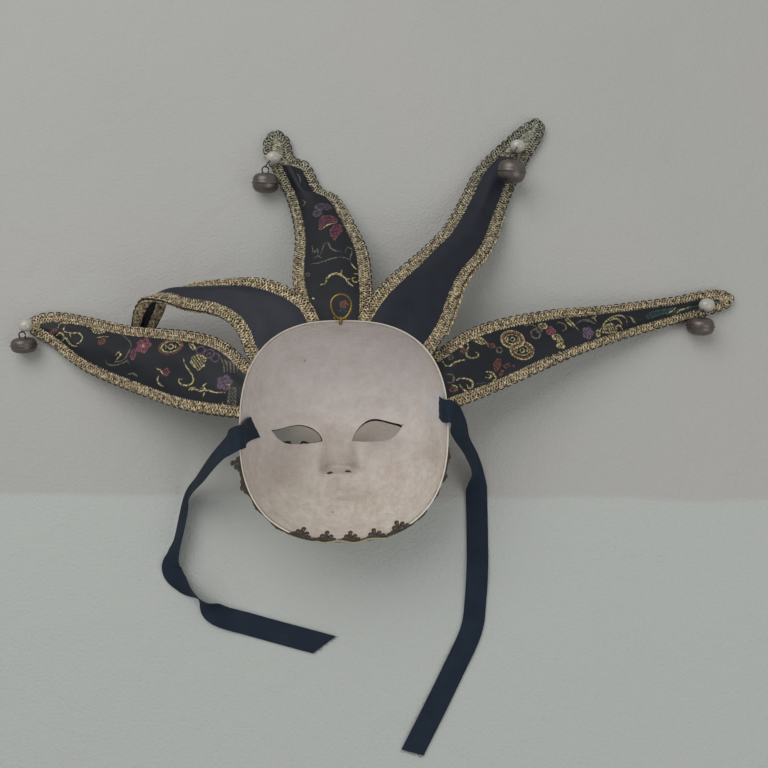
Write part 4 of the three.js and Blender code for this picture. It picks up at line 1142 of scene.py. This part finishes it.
# By name: its turn in degrees, its size, how tall it is for its width, and how far up it sits
for name, turn, size, tall, above in (
    ("left", 2, 0.91, 0.88, 2.6), ("left_curled", 30, 0.95, 0.9, 0), ("upper_left", -2, 0.98, 1.06, 0),
    ("upper_right", -6, 1.05, 1.12, 0), ("right", -2, 0.98, 0.92, 1.2),
):
    low, high = (np.array(corner) * 1000 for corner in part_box("bell_" + name))
    pearl_low, pearl_high = (np.array(corner) * 1000 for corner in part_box("pearl_" + name))
    pearl_middle = (pearl_low + pearl_high) / 2 + FOOTPRINT
    eye_off = turned(np.array([[0, WIRE_EYE - above, 0]]), TILT, turn)[0] * size
    centre = (low + high) / 2 + FOOTPRINT - eye_off
    centre[2] = low[2] + FLANGE_RADIUS * size

    def bell_place(s, t):
        return turned(bell_body(s, t) * [size, size * tall, size], TILT, turn) + centre

    bell = formed("bell_" + name, (48, len(BELL_PROFILE) - 1), bell_place)
    closed_up(bell)
    bpy.ops.object.shade_smooth_by_angle(angle=math.radians(35))
    handed_over(bell, bronze, "bronze", "bell_" + name)
    around = np.linspace(0, 2 * np.pi, 33)
    up = BELL_DOME * tall + 2.2 + 3.2 * np.sin(around)
    ring = np.column_stack([WIRE_EYE * np.cos(around), up, 0 * around + 1.5])
    ring = turned(ring * size, TILT, turn) + centre
    outward = turned(np.column_stack([np.cos(around), np.sin(around), 0 * around]), TILT, turn)
    eye = cord("eye", ring, outward, 1.2, 1.2, 8)

    radius = (pearl_high[0] - pearl_low[0]) / 2

    def pearl_place(s, t):
        out = radius * np.sin(np.pi * t) * (1 + 0.012 * np.sin(4 * np.pi * s))
        x, y = 1.08 * out * np.cos(2 * np.pi * s), 0.93 * out * np.sin(2 * np.pi * s)
        return pearl_middle + np.column_stack([x, y, 0.95 * radius * np.cos(np.pi * t)])

    pearl = formed("pearl_" + name, (32, 20), pearl_place)
    closed_up(pearl)
    handed_over(pearl, lustre, "pearl", "pearl_" + name)
    top = ring[8]
    bend = (pearl_middle + top) / 2 + [0, 0, 1.5]
    hook = spline([pearl_middle, bend, top, top - [0, 0, 2]], np.linspace(0, 1, 24))
    wire = cord("hook_" + name, hook, [1.0, 0.2, 0], 1.1, 1.1, 6)
    handed_over(joined("hook_" + name, [wire, eye]), blackened, "bronze")


# The hanging loop is one brass wire: a teardrop ring whose two ends are twisted together, brought
# over the rim and back through a hole in the forehead.
brass, tree, shader = new_material("bare brass wire")
place = add(tree, "TexCoord").outputs["Object"]
tarnish = add(tree, "TexNoise", {"Vector": place, "Scale": 260, "Detail": 3})
yellow = add(tree, "Mix", {0: tarnish, 6: srgb("#6f5626"), 7: srgb("#b3954f")}, data_type="RGBA")
plug(tree, shader, {"Base Color": yellow, "Metallic": 0.9, "Roughness": 0.3})
LOOP_AT = -2.7
turn = np.linspace(0, 1, 120)
around = np.radians(-80 + (340 + 360) * turn)
taper = (1 - 0.12 * (1 - np.sin(around))) * (1 - 0.05 * np.sin(np.pi * turn) ** 2)
across, upwards = 9 * taper * np.cos(around), 9.3 * np.sin(around)
ring = np.column_stack([LOOP_AT + across, 95.4 + upwards, 1 + 1.6 * turn])
over_rim = ((86.6, 1.8), (85.2, 2.4), (83.6, 1.4), (82.6, -1), (82.6, -4.4), (84, -6), (88, -6))
shank = spline([(LOOP_AT, *place) for place in over_rim], np.linspace(0, 1, 80))
along = unit(np.gradient(shank, axis=0))
side = np.array([1.0, 0, 0])
up = np.cross(side, along)
angle = 2 * np.pi * np.linspace(0, 5, 80)[:, None]
off = 0.68 * (side * np.cos(angle) + up * np.sin(angle))
wire = evened(laid(np.vstack([(shank - off)[::-1], ring, shank + off])), 460)
loop = cord("hanging_loop", wire, [0.3, 0.2, 1.0], 1.3, 1.3, 8)
coil = np.linspace(0, 1, 70)
across, round_it = LOOP_AT - 6 + 10.5 * coil, 24 * coil
wrap = np.column_stack([across, 86.3 + 0.9 * np.cos(round_it), 1.8 + 1.2 * np.sin(round_it)])
bound = cord("wrap", laid(wrap), [0.3, 0.2, 1.0], 0.9, 0.9, 6)
loop = joined("hanging_loop", [loop, bound])
handed_over(loop, brass, "brass_wire", "hanging_loop")


# Two tie ribbons of dark navy grosgrain, 18 mm wide, glued to the inner wall at the temples; they
# turn over the rim and lie slack on the floor with frayed ends.
RIBBON_WIDTH = 18


def rim_section(angle, offset, depth):
    """Places by the angle round the rim, the offset in from the front and the depth below the rim."""
    angle, offset, depth = np.broadcast_arrays(angle, offset, depth)
    rim = rim_face(angle, offset)
    reach = (1 - (np.maximum(depth, 0) / (DEPTH - offset)) ** ROUNDNESS) ** (1 / ROUNDNESS)
    below = shell_face(rim[..., 0] * reach, rim[..., 1] * reach, offset)
    above = rim + np.stack([0 * depth, 0 * depth, -depth], axis=-1)
    return np.where((depth <= 0)[..., None], above, below)


def ribbon_start(from_degrees, to_degrees, depths):
    """The glued end climbs the inner wall and turns over the rim: places and the way its width lies."""
    route = [*((WALL + 1.8, depth) for depth in depths), (WALL + 0.8, -1.7), (-2.2, -2.8)]
    places, sides = [], []
    for step, (offset, depth) in enumerate(route):
        angle = math.radians(from_degrees + (to_degrees - from_degrees) * step / (len(route) - 1))
        places.append(laid(rim_section(angle, offset, depth)))
        sides.append(laid(rim_face(angle - 0.05, 0.0)) - laid(rim_face(angle + 0.05, 0.0)))
    return places, sides


# Each route has its glued end, then rows of x, y, z in mm and the lean of the width in degrees
ribbon_routes = {
    "left": (ribbon_start(177.5, 183.5, (29, 23, 16, 9, 4)), [
        (-90.5, -14.5, 88, 38), (-111, -28, 52, 42), (-125.5, -38, 24, 55), (-134.5, -49, 10.5, 60),
        (-137.2, -64, 10, 58), (-141, -84, 9.5, 57), (-144.5, -96, 7.8, 44), (-145.8, -107, 4.6, 18),
        (-137, -118, 6.6, 38), (-122, -130, 9.8, 78), (-107.5, -143, 3.8, 8), (-80, -151.5, 1.2, 0),
        (-11.5, -169.5, 1, 0),
    ]),
    "right": (ribbon_start(13.5, 10, (9, 5)), [
        (89, 6, 62, -20), (98, -9, 42, -50), (106, -22, 24, -50), (108, -34, 10, -30),
        (108.6, -44, 2.4, 0), (108.8, -80, 1, 0), (108.2, -107, 2, 0), (106.5, -130, 1, 0),
        (103, -154, 1, 0), (86, -190, 1, 0), (52.5, -253.5, 1, 0),
    ]),
}
RIBBON_SLANTS = {"left": (11, -15), "right": (0, 4.2)}


def ribbon_frames(start, rest):
    """A ribbon's places and the directions across it."""
    places = np.array([*start[0], *(row[:3] for row in rest)], float)
    along = unit(np.vstack([places[1:], places[-1:]]) - np.vstack([places[:1], places[:-1]]))
    flat = unit(np.cross(along, [0, 0, 1.0]))
    leans = np.radians([0] * len(start[0]) + [row[3] for row in rest])[:, None]
    sides = flat * np.cos(leans) + np.cross(along, flat) * np.sin(leans)
    sides[:len(start[0])] = square_to(along[:len(start[0])], np.array(start[1]))
    return places, sides


grosgrain, tree, shader = new_material("dark navy grosgrain ribbon")
place = add(tree, "TexCoord").outputs["UV"]
size_map = add(tree, "Mapping", {"Vector": place, "Scale": (1, 330, 1)})
ribs = add(tree, "TexWave", {"Vector": size_map, "Scale": 1.0, "Distortion": 0.4}, bands_direction="Y")
round_it = add(tree, "TexCoord").outputs["Object"]
cloud = add(tree, "TexNoise", {"Vector": round_it, "Scale": 60, "Detail": 4})
slate = add(tree, "Mix", {0: cloud, 6: srgb("#131c26"), 7: srgb("#223040")}, data_type="RGBA")
bump = add(tree, "Bump", {"Height": ribs.outputs["Fac"], "Strength": 0.35, "Distance": 0.0004})
plug(tree, shader, {"Base Color": slate, "Normal": bump, "Roughness": 0.75, "Specular IOR Level": 0.25})
random = np.random.default_rng(7)

for name, (start, rest) in ribbon_routes.items():
    places, sides = ribbon_frames(start, rest)

    def strip(share):
        path = spline(places, share)
        along = unit(spline(places, share + 0.002) - spline(places, share - 0.002))
        side = square_to(along, spline(sides, share))
        return path, side, np.cross(side, along)

    share = np.linspace(0, 1, 900)
    gone = gone_along(strip(share)[0])
    total = gone[-1]
    start_slant, end_slant = RIBBON_SLANTS[name]
    first, last = abs(start_slant) / 2, total - abs(end_slant) / 2

    def ribbon_place(s, t):
        slant = start_slant * np.maximum(1 - 10 * t, 0) + end_slant * np.maximum(10 * t - 9, 0)
        way = np.clip((first + t * (last - first) + slant * (s - 0.5)) / total, 0, 1)
        middle, side, face = strip(np.interp(way * total, gone, share))
        ripple = 0.16 * np.sin(37 * way + 5 * s) + 0.1 * np.cos(6 * np.pi * s)
        return middle + side * (RIBBON_WIDTH * (s - 0.5))[:, None] + face * ripple[:, None]

    ribbon = formed("ribbon_" + name, (RIBBON_WIDTH, int(total / 1.2)), ribbon_place)
    thickened(ribbon, "ribbon thickness", 0.0006)
    handed_over(ribbon, grosgrain, "ribbon", "ribbon_" + name)
    threads = []
    for s in np.linspace(0.03, 0.97, 16):
        t = np.linspace(0, 1, 8)
        root = ribbon_place(np.array([s]), np.array([1.0]))[0]
        ahead = root - ribbon_place(np.array([s]), np.array([0.99]))[0]
        ahead = unit(ahead) * random.uniform(0.8, 2.2)
        sway = random.uniform(-1, 1, 3) * [1, 1, 0.1]
        fray = root + ahead * t[:, None] + sway * (t ** 2)[:, None]
        threads.append(cord("thread", fray, [0.1, 0.1, 1.0], 0.35, 0.35, 4))
    fringe = joined("fray_" + name, threads)
    handed_over(fringe, grosgrain, "ribbon")


# The lace is worked in dark bronze cord, glued round the lower edge, its upper edge a row of
# trefoils. They stand out past the rim at the sides and are folded over the hollow at the chin.
lace_cord, tree, shader = new_material("dark bronze lace cord")
place = add(tree, "TexCoord").outputs["Object"]
wear = add(tree, "TexNoise", {"Vector": place, "Scale": 300, "Detail": 3})
dark = add(tree, "Mix", {0: wear, 6: srgb("#221e1a"), 7: srgb("#5e5343")}, data_type="RGBA")
plug(tree, shader, {"Base Color": dark, "Metallic": 0.25, "Roughness": 0.55})
FLOWER_PITCH = math.radians(13)
LACE_CENTRE = math.radians(273.4)
# The slope at which the lace stands out past the rim, by degrees round it
STANDING_OUT = (
    (190, 0.4), (193, 0.8), (201, 0.8), (204, 0.35), (209, 0.45), (213, 0.25), (216, 0), (220, 0.2),
    (224, 0), (231, 0), (235, 0.15), (240, 0.1), (314, 0.1), (317, 0), (331, 0), (333.5, 0.4),
    (336, 0.3), (338, 0), (342, 0.1), (345, 0.8), (347, 0.7), (349, 0.2), (352, 0.2),
)


def smoothstep(value, low, high):
    """Rises smoothly from 0 to 1 between two values."""
    t = np.clip((value - low) / (high - low), 0, 1)
    return t * t * (3 - 2 * t)


def lace_place(angle, reach):
    """A place on the lace by its angle round the rim and its reach past the rim's crest."""
    degrees = np.degrees(angle)
    folded = smoothstep(degrees, 236, 243) - smoothstep(degrees, 304, 311)
    outward = np.interp(degrees, *zip(*STANDING_OUT))
    sunk = 8.5 * (1 - np.maximum(folded, np.minimum(outward / 0.3, 1)))
    past = np.maximum(reach - sunk, 0)
    down = rim_section(angle, -0.7, np.maximum(sunk - reach, 0))
    standing = rim_face(angle, -0.7 - past * outward) + past[..., None] * [0, 0, 0.3] - [0, 0, 1.2]
    over = rim_face(angle, past - 0.7)
    over[..., 2] += 0.9 * np.sin(np.pi * np.clip(past / 3, 0, 1)) - 0.22 * past
    past_rim = standing + (over - standing) * folded[..., None]
    return laid(np.where((reach <= sunk)[..., None], down, past_rim))


def lace_thread(angles, reaches, width=1.2):
    line = lace_place(angles, reaches)
    centre = laid(np.array([0, 0, -20.0]))
    across = np.cross(unit(np.gradient(line, axis=0)), unit(line - centre))
    return cord("lace thread", line, across, width, width, 5)


first, last = math.radians(193), math.radians(351)
lace = []
steps = np.linspace(first, last, 420)
wave = np.sin(2 * np.pi * (steps - first) / FLOWER_PITCH * 3)
for reach, swing in ((-10.5, 0.4), (-7.5, 0.8), (-4.0, 0.8), (-1.2, 0.3), (0.4, 0.3), (1.5, 0.4)):
    lace.append(lace_thread(steps, reach + swing * wave))
mm_round = 1 / HALF_WIDTH
coil = np.linspace(0, 3.4 * np.pi, 24)
LOBES = (
    (0, 6.2, 1.7), (-3.2, 3.6, 1.7), (3.2, 3.6, 1.7), (0, 3.0, 1.5), (-5.6, 1.6, 1.2), (5.6, 1.6, 1.2),
)
for flower in np.arange(LACE_CENTRE - 6 * FLOWER_PITCH, last, FLOWER_PITCH):
    for at_side, at_reach, radius in LOBES:
        shrinking = radius * (1 - 0.75 * coil / coil[-1])
        lobe = flower + mm_round * (at_side + shrinking * np.cos(coil))
        if lobe.min() > first and lobe.max() < last:
            lace.append(lace_thread(lobe, at_reach + shrinking * np.sin(coil), 1.4))
lace = joined("lace", lace)
handed_over(lace, lace_cord, "lace", "lace_trim")

# A thin two-strand gold cord lies on the lace and waves past the rim at the chin
light_gold, tree, shader = new_material("light gold twisted cord")
plug(tree, shader, {"Base Color": srgb("#c0b59c"), "Metallic": 0.5, "Roughness": 0.4})
degrees = np.linspace(200, 340, 500)
shown = smoothstep(degrees, 247, 257) - smoothstep(degrees, 289, 298)
wave = np.sin(np.radians(degrees - 263) * 22)
line = laid(rim_section(np.radians(degrees), -2.2 + (1.7 + 0.9 * wave) * shown, 13 - 14.4 * shown))
chin = twisted("chin_cord", line, [0.1, 0.2, 1.0], 0.5, 1.0, 4.2)
handed_over(chin, light_gold, "gold_cord", "chin_cord")

# Black twisted cord is glued round each eye opening on the front
black, tree, shader = new_material("black cotton cord")
plug(tree, shader, {"Base Color": srgb("#141318"), "Roughness": 0.8})


def off_front(u, v, distance):
    """Places in front of the face, so far from its surface."""
    here = shell_face(u, v, 0.0)
    aside, above = shell_face(u + 0.5, v, 0.0), shell_face(u, v + 0.5, 0.0)
    return here - distance * unit(np.cross(aside - here, above - here))


for side, name in ((-1, "left"), (1, "right")):
    outline = np.vstack([eye_outlines[side], eye_outlines[side][:1]])
    middle = outline.mean(axis=0)
    spread = evened(outline + 1.5 * unit(outline - middle) - [0, 1.3 if side > 0 else 0.5], 160)
    for loose in ((-43.4, -13.5), (-27.6, -14.5), (52.5, 3.2)):
        slack = np.exp(-(length(spread - loose) / 3.2) ** 2)[:, None]
        spread = spread + 3.1 * slack * unit(middle - spread)
    line = laid(off_front(spread[:, 0], spread[:, 1], 1.6))
    trim = twisted("eye_trim_" + name, line, [0.1, 0.2, 1.0], 0.5, 1.15, 3.4)
    handed_over(trim, black, "black_cord", "eye_trim_" + name)
